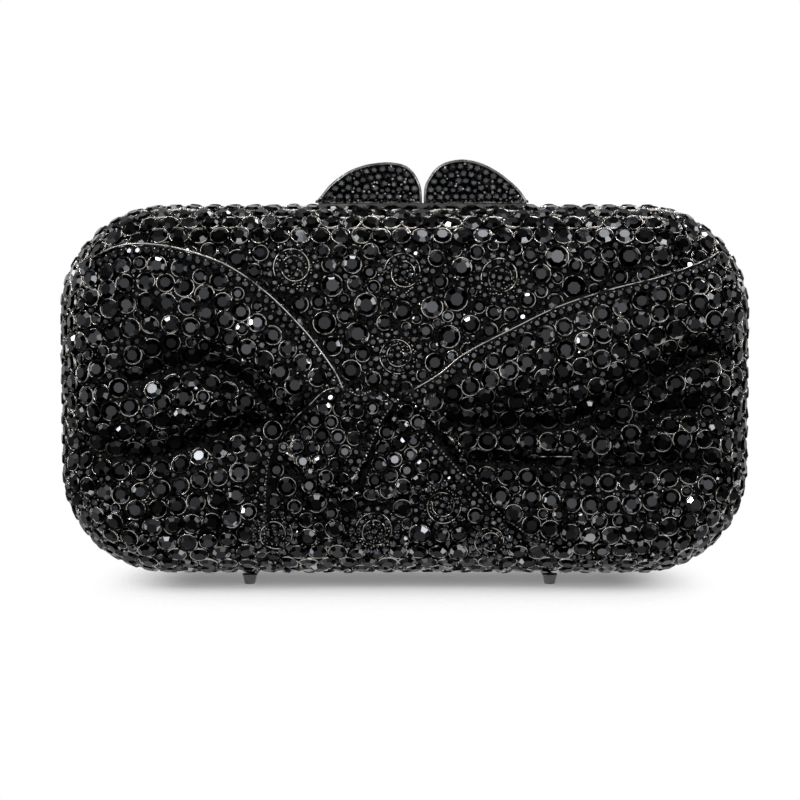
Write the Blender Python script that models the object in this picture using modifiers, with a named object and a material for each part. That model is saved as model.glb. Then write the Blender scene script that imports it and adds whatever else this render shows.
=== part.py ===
"""Clutch bag: a hard evening case in two halves, hinged along its bottom edge.

Metres, +Z up, the front looks along -Y. The origin lies on the ground under the middle of the case.
"""
import math

import bmesh
import bpy
import numpy as np
from mathutils import Matrix, Vector
from mathutils.bvhtree import BVHTree

# Driving dimensions of the case, over its stones
CASE_WIDTH = 0.180
CASE_HEIGHT = 0.0965
CORNER_RADIUS = 0.028
EDGE_ROUND = 0.0155
SHELL_WALL = 0.0022
FOOT_HEIGHT = 0.0026

# Depths of the two halves, from the parting plane to the flat of each face
FRONT_DEPTH = 0.0216
BACK_DEPTH = 0.0236
FRONT_CROWN = 0.0015
BACK_CROWN = 0.0039

# Stones: how far each stands out of the skin, and how far round a wire or a foot they stand level
STONE_HEIGHT = 0.0012
STONE_REACH = 0.0045
TABLE_SHARE = 0.5
WIRE_SEAT = 0.0026
FOOT_SEAT = 0.0050

# Clearances and the overrun of cuts
GAP = 0.0003
PARTING_GAP = 0.0002
OVERRUN = 0.001
MERGE_DISTANCE = 0.00001

# Metal frames that close against each other on the parting plane
FRAME_INSET = 0.0010
FRAME_WALL = 0.0024
FRAME_DEPTH = 0.0026

# Linings
LINING_THICKNESS = 0.0008

# Bottom hinge: two leaves with knuckles, and a pin with peened ends
HINGE_RISE = 0.0009
KNUCKLE_RADIUS = 0.0013
PIN_RADIUS = 0.0005
HINGE_LENGTH = 0.112
KNUCKLES = 7
LEAF_THICKNESS = 0.0005
PIN_HEAD_RADIUS = 0.0011
PIN_HEAD_LENGTH = 0.0008

# Feet
FOOT_COLLAR_RADIUS = 0.0020
FOOT_WAIST_RADIUS = 0.0017
FOOT_BASE_RADIUS = 0.00145
FOOT_COLLAR_HEIGHT = 0.0009
FOOT_STANCE = 0.0080
LEFT_FOOT_X = -0.0407
RIGHT_FOOT_X = 0.0381

# Two-petal clasp on the top of the frames
CLASP_X = 0.00475
PETAL_WIDTH = 0.0277
LEFT_PETAL_HEIGHT = 0.0110
RIGHT_PETAL_HEIGHT = 0.0117
PETAL_THICKNESS = 0.0026
PETAL_GAP = 0.0004
PETAL_LIFT = 0.0012
PETAL_BEZEL = 0.0008
PETAL_RECESS = 0.0006
PIVOT_SHARE = 0.72
PIVOT_DROP = 0.0061
LUG_WIDTH = 0.0050
LUG_THICKNESS = 0.0020
LUG_TAIL = 0.0020
LUG_SWAY = 0.0011
CLASP_PIN_RADIUS = 0.0008
BRACKET_LENGTH = 0.0104
BRACKET_PLATE = 0.0008
EAR_THICKNESS = 0.0010
SPRING_THICKNESS = 0.00035
SPRING_WIDTH = 0.0018
SPRING_GAP = 0.00045

# Relief of the bow, measured from the plain face
WING_RISE = 0.0026
LEFT_TAIL_RISE = 0.0032
RIGHT_TAIL_RISE = 0.0020
KNOT_RISE = 0.0018
KNOT_WIDTH = 0.0120
KNOT_HEIGHT = 0.0070
STEP_WIDTH = 0.0020
PLEAT_DEPTH = 0.0040
PLEAT_WIDTH = 0.0046
PLEAT_SHARPNESS = 1.45
RIDGE_RISE = 0.0013

# Wires along the wings and the spiral rosettes
WIRE_RADIUS = 0.0005
WIRE_PROBE = 0.0009
ROSETTE_HEIGHT = 0.0007
ROSETTE_CORD = 0.0005
ROSETTE_TURNS = 2.0

# Counts
FRONT_CELLS = (30, 16, 6)
BACK_CELLS = (24, 12, 5)
PLAIN_COLUMNS = 20
PLAIN_ROWS = 10
ROUND_STEPS = 5
ROUND_SIDES = 16
WIRE_POINTS = 26
ROSETTE_SPOKES = 16
ROSETTE_RINGS = 5

# Tables of places, as shares of the case's half width and half height from its middle
LEFT_WING_TOP_SHARES = [(-0.165, 0.039), (-0.189, 0.136), (-0.241, 0.276), (-0.287, 0.381), (-0.381, 0.556),
                        (-0.496, 0.706), (-0.627, 0.792), (-0.731, 0.821), (-0.818, 0.806), (-0.891, 0.743)]
RIGHT_WING_TOP_SHARES = [(-0.010, 0.023), (0.088, 0.129), (0.167, 0.245), (0.307, 0.381), (0.431, 0.492),
                         (0.575, 0.581), (0.719, 0.649), (0.842, 0.729), (0.893, 0.772)]
LEFT_WING_FOOT_SHARES = [(-0.402, -0.864), (-0.396, -0.757), (-0.389, -0.544), (-0.377, -0.305),
                         (-0.338, -0.183), (-0.273, -0.067), (-0.193, 0.007)]
RIGHT_WING_FOOT_SHARES = [(0.429, -0.874), (0.358, -0.784), (0.287, -0.624), (0.193, -0.437),
                          (0.120, -0.257), (0.060, -0.130), (0.004, -0.030)]
LEFT_TAIL_SHARES = [(-0.165, 0.039), (-0.239, -0.003), (-0.292, -0.088), (-0.335, -0.178), (-0.366, -0.289),
                    (-0.307, -0.384), (-0.231, -0.491), (-0.157, -0.554), (-0.123, -0.400), (-0.086, -0.268),
                    (-0.055, -0.130), (-0.022, -0.019), (-0.089, 0.030)]
RIGHT_TAIL_SHARES = [(-0.022, -0.019), (-0.086, -0.268), (-0.146, -0.544), (-0.039, -0.544), (0.075, -0.512),
                     (0.182, -0.427), (0.120, -0.268), (0.060, -0.141), (0.004, -0.040)]
PLEAT_SHARES = [[(-0.340, -0.190), (-0.395, -0.060), (-0.483, 0.085), (-0.612, 0.150), (-0.701, 0.110),
                 (-0.766, 0.050)],
                [(-0.400, -0.160), (-0.549, -0.235), (-0.678, -0.325), (-0.807, -0.345), (-0.922, -0.290)],
                [(0.150, -0.175), (0.348, -0.182), (0.503, -0.146), (0.732, 0.094), (0.898, 0.214)],
                [(0.503, -0.146), (0.580, -0.160), (0.755, -0.096), (0.860, -0.090)],
                [(0.207, -0.360), (0.414, -0.385), (0.606, -0.405), (0.840, -0.365)]]
RIDGE_SHARES = [[(-0.330, 0.010), (-0.440, 0.330), (-0.620, 0.520), (-0.800, 0.480)],
                [(-0.400, -0.030), (-0.600, 0.020), (-0.850, -0.050)],
                [(0.180, 0.060), (0.450, 0.230), (0.850, 0.520)],
                [(0.230, -0.215), (0.420, -0.220), (0.790, -0.190)]]
KNOT_SHARES = (-0.100, -0.020)
ROSETTE_SHARES = [(-0.316, 0.680), (-0.005, 0.654), (0.270, 0.628), (-0.019, 0.218),
                  (-0.371, -0.736), (-0.087, -0.725), (0.109, -0.586), (0.246, -0.784)]
ROSETTE_RADII = [0.0066, 0.0064, 0.0064, 0.0062, 0.0058, 0.0064, 0.0060, 0.0054]
PETAL_SHARES = {
    "left": [(0.000, 0.000), (0.002, 0.248), (0.017, 0.461), (0.057, 0.674), (0.115, 0.851), (0.170, 0.930),
             (0.236, 0.976), (0.330, 1.000), (0.445, 0.975), (0.560, 0.922), (0.718, 0.763), (0.872, 0.479),
             (0.962, 0.213), (1.018, 0.030)],
    "right": [(0.000, 0.000), (0.002, 0.230), (0.010, 0.390), (0.038, 0.548), (0.102, 0.767), (0.177, 0.900),
              (0.268, 0.973), (0.374, 1.000), (0.479, 0.967), (0.585, 0.883), (0.706, 0.733), (0.811, 0.550),
              (0.902, 0.350), (0.962, 0.167), (1.000, 0.030)]}

# Places worked out from the values above
HALF_WIDTH = CASE_WIDTH / 2
HALF_HEIGHT = CASE_HEIGHT / 2
MIDDLE_Z = FOOT_HEIGHT + HALF_HEIGHT
CASE_TOP = FOOT_HEIGHT + CASE_HEIGHT
FRAME_END = PARTING_GAP + FRAME_DEPTH
RIM_START = FRAME_END + GAP
FRONT_FLOOR = FRONT_DEPTH - PLEAT_DEPTH - SHELL_WALL
BACK_FLOOR = BACK_DEPTH - SHELL_WALL
FRAME_TOP = CASE_TOP - FRAME_INSET
FRAME_BOTTOM = FOOT_HEIGHT + FRAME_INSET
HINGE_Z = FOOT_HEIGHT + HINGE_RISE
KNUCKLE_CLEAR = KNUCKLE_RADIUS + GAP
KNUCKLE_BORE = PIN_RADIUS + GAP
PIVOT_Z = FRAME_TOP - PIVOT_DROP
LUG_HALF = LUG_THICKNESS / 2
SLOT_HALF = LUG_HALF + GAP

# Colours: gunmetal, black stones, dark lining
GUNMETAL = ((0.16, 0.16, 0.17), 0.30, 1.0)
STONES = ((0.012, 0.012, 0.014), 0.12, 0.0)
LINING = ((0.020, 0.018, 0.018), 0.60, 0.0)
STEEL = ((0.45, 0.45, 0.46), 0.28, 1.0)


def clear_scene():
    for thing in list(bpy.data.objects):
        bpy.data.objects.remove(thing, do_unlink=True)


def new_collection(name):
    group = bpy.data.collections.new(name)
    bpy.context.scene.collection.children.link(group)
    return group


def paint(thing, name, finish):
    colour, roughness, metallic = finish
    material = bpy.data.materials.new(name)
    material.use_nodes = True
    shader = material.node_tree.nodes["Principled BSDF"]
    shader.inputs["Base Color"].default_value = (*colour, 1.0)
    shader.inputs["Roughness"].default_value = roughness
    shader.inputs["Metallic"].default_value = metallic
    thing.data.materials.clear()
    thing.data.materials.append(material)


def keep_mesh(name, mesh, group, finish=None):
    thing = bpy.data.objects.new(name, mesh)
    group.objects.link(thing)
    if finish:
        paint(thing, name + "_finish", finish)
    else:
        thing.hide_render = True
        thing.display_type = "WIRE"
    return thing


def mesh_from(name, builder):
    """A mesh made by a function that fills a bmesh, with its faces turned outwards."""
    form = bmesh.new()
    builder(form)
    bmesh.ops.recalc_face_normals(form, faces=form.faces)
    mesh = bpy.data.meshes.new(name)
    form.to_mesh(mesh)
    form.free()
    return mesh


def add_box(form, low, high):
    size = [top - bottom for bottom, top in zip(low, high)]
    middle = [(top + bottom) / 2 for bottom, top in zip(low, high)]
    place = Matrix.Translation(middle) @ Matrix.Diagonal((*size, 1.0))
    bmesh.ops.create_cube(form, size=1.0, matrix=place)


def add_cylinder(form, radius, start, end, sides=ROUND_SIDES):
    """A cylinder between two points."""
    run = Vector(end) - Vector(start)
    middle = (Vector(end) + Vector(start)) / 2
    turn = run.to_track_quat("Z", "Y").to_matrix().to_4x4()
    bmesh.ops.create_cone(form, cap_ends=True, segments=sides, radius1=radius, radius2=radius,
                          depth=run.length, matrix=Matrix.Translation(middle) @ turn)


def cut(thing, tool, how="DIFFERENCE"):
    step = thing.modifiers.new(tool.name, "BOOLEAN")
    step.operation = how
    step.solver = "EXACT"
    step.object = tool


def side_point(share, half_run, half_rise, radius):
    """A point of one long side of a rounded rectangle: the straight run and half of each corner."""
    straight = half_run - radius
    length = straight + radius * math.pi / 4
    along = abs(share) * length
    turn = np.maximum(along - straight, 0) / radius
    run = np.where(along <= straight, along, straight + radius * np.sin(turn))
    rise = half_rise - radius * (1 - np.cos(turn))
    return np.sign(share) * run, rise


def outline(across, up, inset):
    """Points of the case's outline, drawn in by inset, for places on the rim of a square from -1 to 1."""
    radius = CORNER_RADIUS - inset
    wide = HALF_WIDTH - inset
    high = HALF_HEIGHT - inset
    on_top = np.abs(up) >= np.abs(across)
    top_x, top_z = side_point(across, wide, high, radius)
    end_z, end_x = side_point(up, high, wide, radius)
    x = np.where(on_top, top_x, np.sign(across) * end_x)
    z = np.where(on_top, np.sign(up) * top_z, end_z)
    return x, z


def square_rim(columns, rows):
    """Places around the rim of the square, in order, one for each cell of a grid beside it."""
    across = np.linspace(-1, 1, columns + 1)
    up = np.linspace(-1, 1, rows + 1)
    rim_across = np.concatenate([across[:-1], np.ones(rows), across[:0:-1], -np.ones(rows)])
    rim_up = np.concatenate([-np.ones(columns), up[:-1], np.ones(columns), up[:0:-1]])
    return rim_across, rim_up


def inset_at(x, z):
    """How far a point lies inside the case's outline."""
    run = np.abs(x) - (HALF_WIDTH - CORNER_RADIUS)
    rise = np.abs(z) - (HALF_HEIGHT - CORNER_RADIUS)
    outside = np.hypot(np.maximum(run, 0), np.maximum(rise, 0))
    inside = np.minimum(np.maximum(run, rise), 0)
    return CORNER_RADIUS - outside - inside


def smooth_line(shares, count):
    """Points at even steps on a Catmull-Rom curve through a table of places."""
    table = np.array(shares) * (HALF_WIDTH, HALF_HEIGHT)
    table = np.vstack([2 * table[0] - table[1], table, 2 * table[-1] - table[-2]])
    spans = len(table) - 3
    place = np.linspace(0, spans, count)
    first = np.minimum(place.astype(int), spans - 1)
    t = (place - first)[:, None]
    a, b, c, d = (table[first + step] for step in range(4))
    return (2 * b + (c - a) * t + (2 * a - 5 * b + 4 * c - d) * t**2 + (3 * b - a - 3 * c + d) * t**3) / 2


def distance_to(x, z, line, closed=False):
    """Least distance from each point to a line of straight pieces, and whether a loop holds the point."""
    ends = np.roll(line, -1, axis=0)
    pairs = list(zip(line, ends)) if closed else list(zip(line[:-1], line[1:]))
    best = np.full(np.shape(x), np.inf)
    held = np.zeros(np.shape(x), bool)
    for (ax, az), (bx, bz) in pairs:
        run, rise = bx - ax, bz - az
        share = np.clip(((x - ax) * run + (z - az) * rise) / (run**2 + rise**2), 0, 1)
        best = np.minimum(best, np.hypot(x - ax - share * run, z - az - share * rise))
        crosses = (az > z) != (bz > z)
        held = held ^ (crosses & (x < ax + (z - az) * run / (rise or math.inf)))
    return best, held


def plateau(x, z, line):
    """1 inside a closed loop and 0 outside, with a smooth step of STEP_WIDTH at its edge."""
    away, held = distance_to(x, z, line, closed=True)
    level = np.clip(np.where(held, away, -away) / STEP_WIDTH + 0.5, 0, 1)
    return level * level * (3 - 2 * level)


def wing_loop(top_shares, foot_shares, side):
    """A wing's loop: its top edge out from the knot, round beyond the case's corner, and back along its foot."""
    corner_shares = [(side * 1.2, top_shares[-1][1]), (side * 1.2, -1.2), (foot_shares[0][0], -1.2)]
    corners = np.array(corner_shares) * (HALF_WIDTH, HALF_HEIGHT)
    return np.vstack([smooth_line(top_shares, 24), corners, smooth_line(foot_shares, 16)])


LEFT_WING = wing_loop(LEFT_WING_TOP_SHARES, LEFT_WING_FOOT_SHARES, -1)
RIGHT_WING = wing_loop(RIGHT_WING_TOP_SHARES, RIGHT_WING_FOOT_SHARES, 1)
WIRE_LINES = [smooth_line(LEFT_WING_TOP_SHARES, 24), smooth_line(RIGHT_WING_TOP_SHARES, 24)]
LEFT_TAIL = np.array(LEFT_TAIL_SHARES) * (HALF_WIDTH, HALF_HEIGHT)
RIGHT_TAIL = np.array(RIGHT_TAIL_SHARES) * (HALF_WIDTH, HALF_HEIGHT)
PLEATS = [smooth_line(shares, 16) for shares in PLEAT_SHARES]
RIDGES = [smooth_line(shares, 12) for shares in RIDGE_SHARES]


def bow_relief(x, z):
    """Height of the bow over the plain face: level wings and tails, less the pleats, plus ridges and knot."""
    pleat = np.zeros(np.shape(x))
    wings = WING_RISE * np.maximum(plateau(x, z, LEFT_WING), plateau(x, z, RIGHT_WING))
    tails = np.maximum(LEFT_TAIL_RISE * plateau(x, z, LEFT_TAIL), RIGHT_TAIL_RISE * plateau(x, z, RIGHT_TAIL))
    height = np.maximum(wings, tails)
    for line in PLEATS:
        away, _ = distance_to(x, z, line)
        pleat = np.maximum(pleat, np.exp(-(away / PLEAT_WIDTH) ** PLEAT_SHARPNESS))
    for line in RIDGES:
        away, _ = distance_to(x, z, line)
        height = height + RIDGE_RISE * np.exp(-(away / PLEAT_WIDTH) ** 2)
    run = (x - KNOT_SHARES[0] * HALF_WIDTH) / KNOT_WIDTH
    rise = (z - KNOT_SHARES[1] * HALF_HEIGHT) / KNOT_HEIGHT
    return height - PLEAT_DEPTH * pleat + KNOT_RISE * np.exp(-(run**2 + rise**2))


def plain_crown(x, z, crown):
    """A shallow crown, full at the middle of the face and nothing at the outline."""
    return crown * (1 - (x / HALF_WIDTH) ** 2) * (1 - (z / HALF_HEIGHT) ** 2)


def face_depth(x, z, flat_depth, crown, relief):
    """Depth of a half's outer face: a rounded edge, then the flat with its crown, and the relief faded in."""
    inset = np.clip(inset_at(x, z), 0, EDGE_ROUND)
    bend = np.sqrt(np.maximum(1 - (1 - inset / EDGE_ROUND) ** 2, 0))
    depth = RIM_START + (flat_depth - RIM_START) * bend + plain_crown(x, z, crown) * bend
    if relief:
        depth = depth + bow_relief(x, z) * bend
    return depth


def front_face(x, z):
    return face_depth(x, z, FRONT_DEPTH, FRONT_CROWN, True)


def back_face(x, z):
    return face_depth(x, z, BACK_DEPTH, BACK_CROWN, False)


def ring_of(form, x, depth, z, side):
    return [form.verts.new((px, side * py, pz + MIDDLE_Z)) for px, py, pz in zip(x, depth, z)]


def bridge(form, ring_a, ring_b):
    for index, (a, b) in enumerate(zip(ring_a, ring_b)):
        form.faces.new((ring_a[index - 1], a, b, ring_b[index - 1]))


def rounded_rings(form, columns, rows, side, inset, rounding, flat_depth):
    """Plain rings from the rim, round the edge, to the flat of a half."""
    across, up = square_rim(columns, rows)
    rings = []
    for turn in np.linspace(0, math.pi / 2, ROUND_STEPS + 1):
        x, z = outline(across, up, inset + rounding * (1 - math.cos(turn)))
        rings.append(ring_of(form, x, RIM_START + (flat_depth - RIM_START) * math.sin(turn) + 0 * x, z, side))
    for first, second in zip(rings, rings[1:]):
        bridge(form, first, second)
    return rings


def level_seat(x, depth, z, dressed, reach):
    """Whether places lie within a reach of a seat: round a foot and, on the dressed half, under wire or rosette."""
    beside_foot = np.minimum(np.abs(x - LEFT_FOOT_X), np.abs(x - RIGHT_FOOT_X))
    level = (z < 0) & (np.hypot(beside_foot, depth - FOOT_STANCE) < FOOT_SEAT + reach)
    if dressed:
        for line in WIRE_LINES:
            level = level | (distance_to(x, z, line)[0] < WIRE_SEAT + reach)
        for centre, radius in zip(np.array(ROSETTE_SHARES) * (HALF_WIDTH, HALF_HEIGHT), ROSETTE_RADII):
            level = level | (np.hypot(x - centre[0], z - centre[1]) < radius + reach)
    return level


def stone_rise(odd, x, depth, z, dressed):
    """How far each point moves out: odd ones sink between the stones, even ones rise to the tip of a point
    that is cut off later at the stone's table. Both stay where they are in a level seat."""
    sinks = odd & ~level_seat(x, depth, z, dressed, 0)
    rises = ~odd & ~level_seat(x, depth, z, dressed, STONE_REACH)
    return np.where(sinks, -STONE_HEIGHT, np.where(rises, STONE_HEIGHT * TABLE_SHARE / (1 - TABLE_SHARE), 0))


def facet(form, corners, second_sinks):
    """Two triangles for a cell, parted along the line between its sunk corners."""
    a, b, c, d = corners
    for points in (((a, b, d), (b, c, d)) if second_sinks else ((a, b, c), (a, c, d))):
        form.faces.new(points)


def stone_rings(form, side, cells, face, dressed, tips):
    """Rings of stones from the rim, round the edge, to the flat; points move square to the edge."""
    columns, rows, steps = cells
    across, up = square_rim(columns, rows)
    order = np.arange(len(across))
    rings = []
    for step in range(steps + 1):
        turn = math.pi / 2 * step / steps
        inset = EDGE_ROUND * (1 - math.cos(turn))
        x, z = outline(across, up, inset)
        depth = face(x, z) if step else RIM_START + 0 * x
        rise = stone_rise((order + steps - step) % 2 == 1, x, depth, z, dressed)
        rise = rise if step else np.minimum(rise, 0)
        x, z = outline(across, up, inset - rise * math.cos(turn))
        rings.append(ring_of(form, x, depth + rise * math.sin(turn), z, side))
        tips.extend(corner for corner, height in zip(rings[-1], rise) if height > 0)
    for step, (outer, inner) in enumerate(zip(rings, rings[1:])):
        for index in order:
            corners = (outer[index - 1], outer[index], inner[index], inner[index - 1])
            facet(form, corners, (index + steps - step) % 2 == 1)
    return rings


def stone_grid(form, side, cells, rim, face, dressed, tips):
    """Stones over the flat of a half, as a grid inside the last ring of its edge."""
    columns, rows, _ = cells
    rim_places = dict(zip(zip(*(np.round(line, 6) for line in square_rim(columns, rows))), rim))
    grid = []
    for row_index, up in enumerate(np.linspace(-1, 1, rows + 1)):
        row = []
        for index, across in enumerate(np.linspace(-1, 1, columns + 1)):
            corner = rim_places.get((round(across, 6), round(up, 6)))
            if corner is None:
                reach = max(abs(across), abs(up)) or 1.0
                x, z = outline(np.array(across / reach), np.array(up / reach), EDGE_ROUND)
                x, z = (x * reach, z * reach) if across or up else (0 * x, 0 * z)
                depth = face(x, z)
                rise = stone_rise(np.array((index + row_index) % 2 == 1), x, depth, z, dressed)
                corner = form.verts.new((float(x), side * float(depth + rise), float(z) + MIDDLE_Z))
                if rise > 0:
                    tips.append(corner)
            row.append(corner)
        grid.append(row)
    for row_index, (low, high) in enumerate(zip(grid, grid[1:])):
        for index in range(columns):
            corners = (low[index], low[index + 1], high[index + 1], high[index])
            facet(form, corners, (index + 1 + row_index) % 2 == 1)


def make_shell(name, side, cells, floor_depth, face, dressed, group):
    """One half's shell: stones over the face and its rounded edge, and a plain hollow down to floor_depth."""
    columns, rows, _ = cells

    def build(form):
        tips = []
        outer = stone_rings(form, side, cells, face, dressed, tips)
        stone_grid(form, side, cells, outer[-1], face, dressed, tips)
        inner = rounded_rings(form, columns, rows, side, SHELL_WALL, EDGE_ROUND - SHELL_WALL, floor_depth)
        bridge(form, outer[0], inner[0])
        form.faces.new(inner[-1])
        bmesh.ops.bevel(form, geom=tips, offset=100 * TABLE_SHARE, offset_type="PERCENT", segments=1,
                        affect="VERTICES")
    return keep_mesh(name, mesh_from(name, build), group, STONES)


def make_lining(name, side, floor_depth, group):
    """A thin tray that lies inside a shell, its rim level with the shell's."""
    inset = SHELL_WALL + GAP
    depth = floor_depth - GAP

    def build(form):
        outer = rounded_rings(form, PLAIN_COLUMNS, PLAIN_ROWS, side, inset, EDGE_ROUND - inset, depth)
        form.faces.new(outer[-1])
        inner = rounded_rings(form, PLAIN_COLUMNS, PLAIN_ROWS, side, inset + LINING_THICKNESS,
                              EDGE_ROUND - inset - LINING_THICKNESS, depth - LINING_THICKNESS)
        form.faces.new(inner[-1])
        bridge(form, outer[0], inner[0])
    return keep_mesh(name, mesh_from(name, build), group, LINING)


def make_frame(name, side, group, cutters):
    """A flat metal band round the parting plane, cut for the hinge's barrel and the two clasp lugs."""
    across, up = square_rim(PLAIN_COLUMNS * 2, PLAIN_ROWS * 2)

    def build(form):
        rings = []
        for inset, depth in ((FRAME_INSET, PARTING_GAP), (FRAME_INSET, FRAME_END),
                             (FRAME_INSET + FRAME_WALL, FRAME_END), (FRAME_INSET + FRAME_WALL, PARTING_GAP)):
            x, z = outline(across, up, inset)
            rings.append(ring_of(form, x, depth + 0 * x, z, side))
        for first, second in zip(rings, rings[1:] + rings[:1]):
            bridge(form, first, second)
    frame = keep_mesh(name, mesh_from(name, build), group, GUNMETAL)
    for tool in cutters:
        cut(frame, tool)
    return frame


def knuckle_ends(index):
    """Where a knuckle starts and ends along the hinge."""
    length = (HINGE_LENGTH - (KNUCKLES - 1) * GAP) / KNUCKLES
    start = -HINGE_LENGTH / 2 + index * (length + GAP)
    return start, start + length


def make_hinge_leaf(name, side, first, group, cutters):
    """A leaf under one frame, with every other knuckle of the barrel, clear of the other leaf's."""
    reach = HINGE_LENGTH / 2
    low_z = FRAME_BOTTOM - GAP - LEAF_THICKNESS

    def plate(form):
        ends = sorted((side * GAP, side * FRAME_END))
        add_box(form, (-reach, ends[0], low_z), (reach, ends[1], low_z + LEAF_THICKNESS))

    def own(form):
        for index in range(first, KNUCKLES, 2):
            start, end = knuckle_ends(index)
            add_cylinder(form, KNUCKLE_RADIUS, (start, 0, HINGE_Z), (end, 0, HINGE_Z))

    def others(form):
        for index in range(1 - first, KNUCKLES, 2):
            start, end = knuckle_ends(index)
            add_cylinder(form, KNUCKLE_CLEAR, (start - GAP, 0, HINGE_Z), (end + GAP, 0, HINGE_Z))

    def bore(form):
        add_cylinder(form, KNUCKLE_BORE, (-reach - OVERRUN, 0, HINGE_Z), (reach + OVERRUN, 0, HINGE_Z))

    leaf = keep_mesh(name, mesh_from(name, plate), group, GUNMETAL)
    for part, builder, how in (("clear", others, "DIFFERENCE"), ("knuckles", own, "UNION"),
                               ("bore", bore, "DIFFERENCE")):
        tool_name = name + "_" + part
        cut(leaf, keep_mesh(tool_name, mesh_from(tool_name, builder), cutters), how)
    return leaf


def turned(name, profile, group, finish):
    """A solid of revolution about Z from (radius, height) points, top to bottom."""
    mesh = bpy.data.meshes.new(name)
    points = [(radius, 0, height) for radius, height in profile]
    mesh.from_pydata(points, [(index, index + 1) for index in range(len(points) - 1)], [])
    thing = keep_mesh(name, mesh, group, finish)
    spin = thing.modifiers.new("turn", "SCREW")
    spin.axis = "Z"
    spin.steps = ROUND_SIDES
    spin.render_steps = ROUND_SIDES
    spin.use_merge_vertices = True
    spin.merge_threshold = MERGE_DISTANCE
    return thing


def make_hinge_pin(group):
    """The pin through all knuckles, with a peened head past each end."""
    shank = HINGE_LENGTH / 2 + GAP
    end = shank + PIN_HEAD_LENGTH
    profile = [(0, end), (PIN_HEAD_RADIUS, end), (PIN_HEAD_RADIUS, shank), (PIN_RADIUS, shank),
               (PIN_RADIUS, -shank), (PIN_HEAD_RADIUS, -shank), (PIN_HEAD_RADIUS, -end), (0, -end)]
    pin = turned("hinge_pin", profile, group, STEEL)
    pin.rotation_euler = (0, math.pi / 2, 0)
    pin.location = (0, 0, HINGE_Z)


def make_foot(name, x, y, group):
    """A small tapered foot with a collar, its top level with the case's lowest line, where the shell curves up."""
    collar = FOOT_HEIGHT - FOOT_COLLAR_HEIGHT
    profile = [(0, FOOT_HEIGHT), (FOOT_COLLAR_RADIUS, FOOT_HEIGHT), (FOOT_COLLAR_RADIUS, collar), (FOOT_WAIST_RADIUS, collar),
               (FOOT_BASE_RADIUS, 0), (0, 0)]
    turned(name, profile, group, GUNMETAL).location = (x, y, 0)


def petal_points(word, side):
    """A petal's outline from its table of shares, from the clasp's middle outwards."""
    height = LEFT_PETAL_HEIGHT if word == "left" else RIGHT_PETAL_HEIGHT
    points = []
    for across_share, up_share in PETAL_SHARES[word]:
        x = CLASP_X + side * (PETAL_GAP / 2 + across_share * (PETAL_WIDTH - PETAL_GAP / 2))
        points.append((x, FRAME_TOP + PETAL_LIFT + up_share * height))
    return points


def pivot_x(side):
    return CLASP_X + side * PIVOT_SHARE * PETAL_WIDTH


def make_petal(word, side, group, cutters):
    """A petal plate, sunk on both faces inside its bezel, with a lug that reaches down to its pivot."""
    name = word + "_petal"
    place_x = pivot_x(side)
    half = PETAL_THICKNESS / 2

    def plate(form):
        faces = {}
        for level in (-half, half):
            corners = [form.verts.new((x, level, z)) for x, z in petal_points(word, side)]
            faces[level] = form.faces.new(corners)
        bridge(form, list(faces[-half].verts), list(faces[half].verts))
        bmesh.ops.recalc_face_normals(form, faces=form.faces)
        bmesh.ops.inset_region(form, faces=list(faces.values()), thickness=PETAL_BEZEL, depth=0)
        for level, face in faces.items():
            for corner in face.verts:
                corner.co.y = level - math.copysign(PETAL_RECESS, level)

    def lug(form):
        add_box(form, (place_x - LUG_WIDTH / 2, -LUG_HALF, PIVOT_Z - LUG_TAIL),
                (place_x + LUG_WIDTH / 2, LUG_HALF, FRAME_TOP + PETAL_LIFT + PETAL_BEZEL / 2))

    def hole(form):
        add_cylinder(form, CLASP_PIN_RADIUS + GAP, (place_x, -half - OVERRUN, PIVOT_Z),
                     (place_x, half + OVERRUN, PIVOT_Z))

    petal = keep_mesh(name, mesh_from(name, plate), group, GUNMETAL)
    for part, builder, how in (("lug", lug, "UNION"), ("hole", hole, "DIFFERENCE")):
        tool_name = name + "_" + part
        cut(petal, keep_mesh(tool_name, mesh_from(tool_name, builder), cutters), how)


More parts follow.
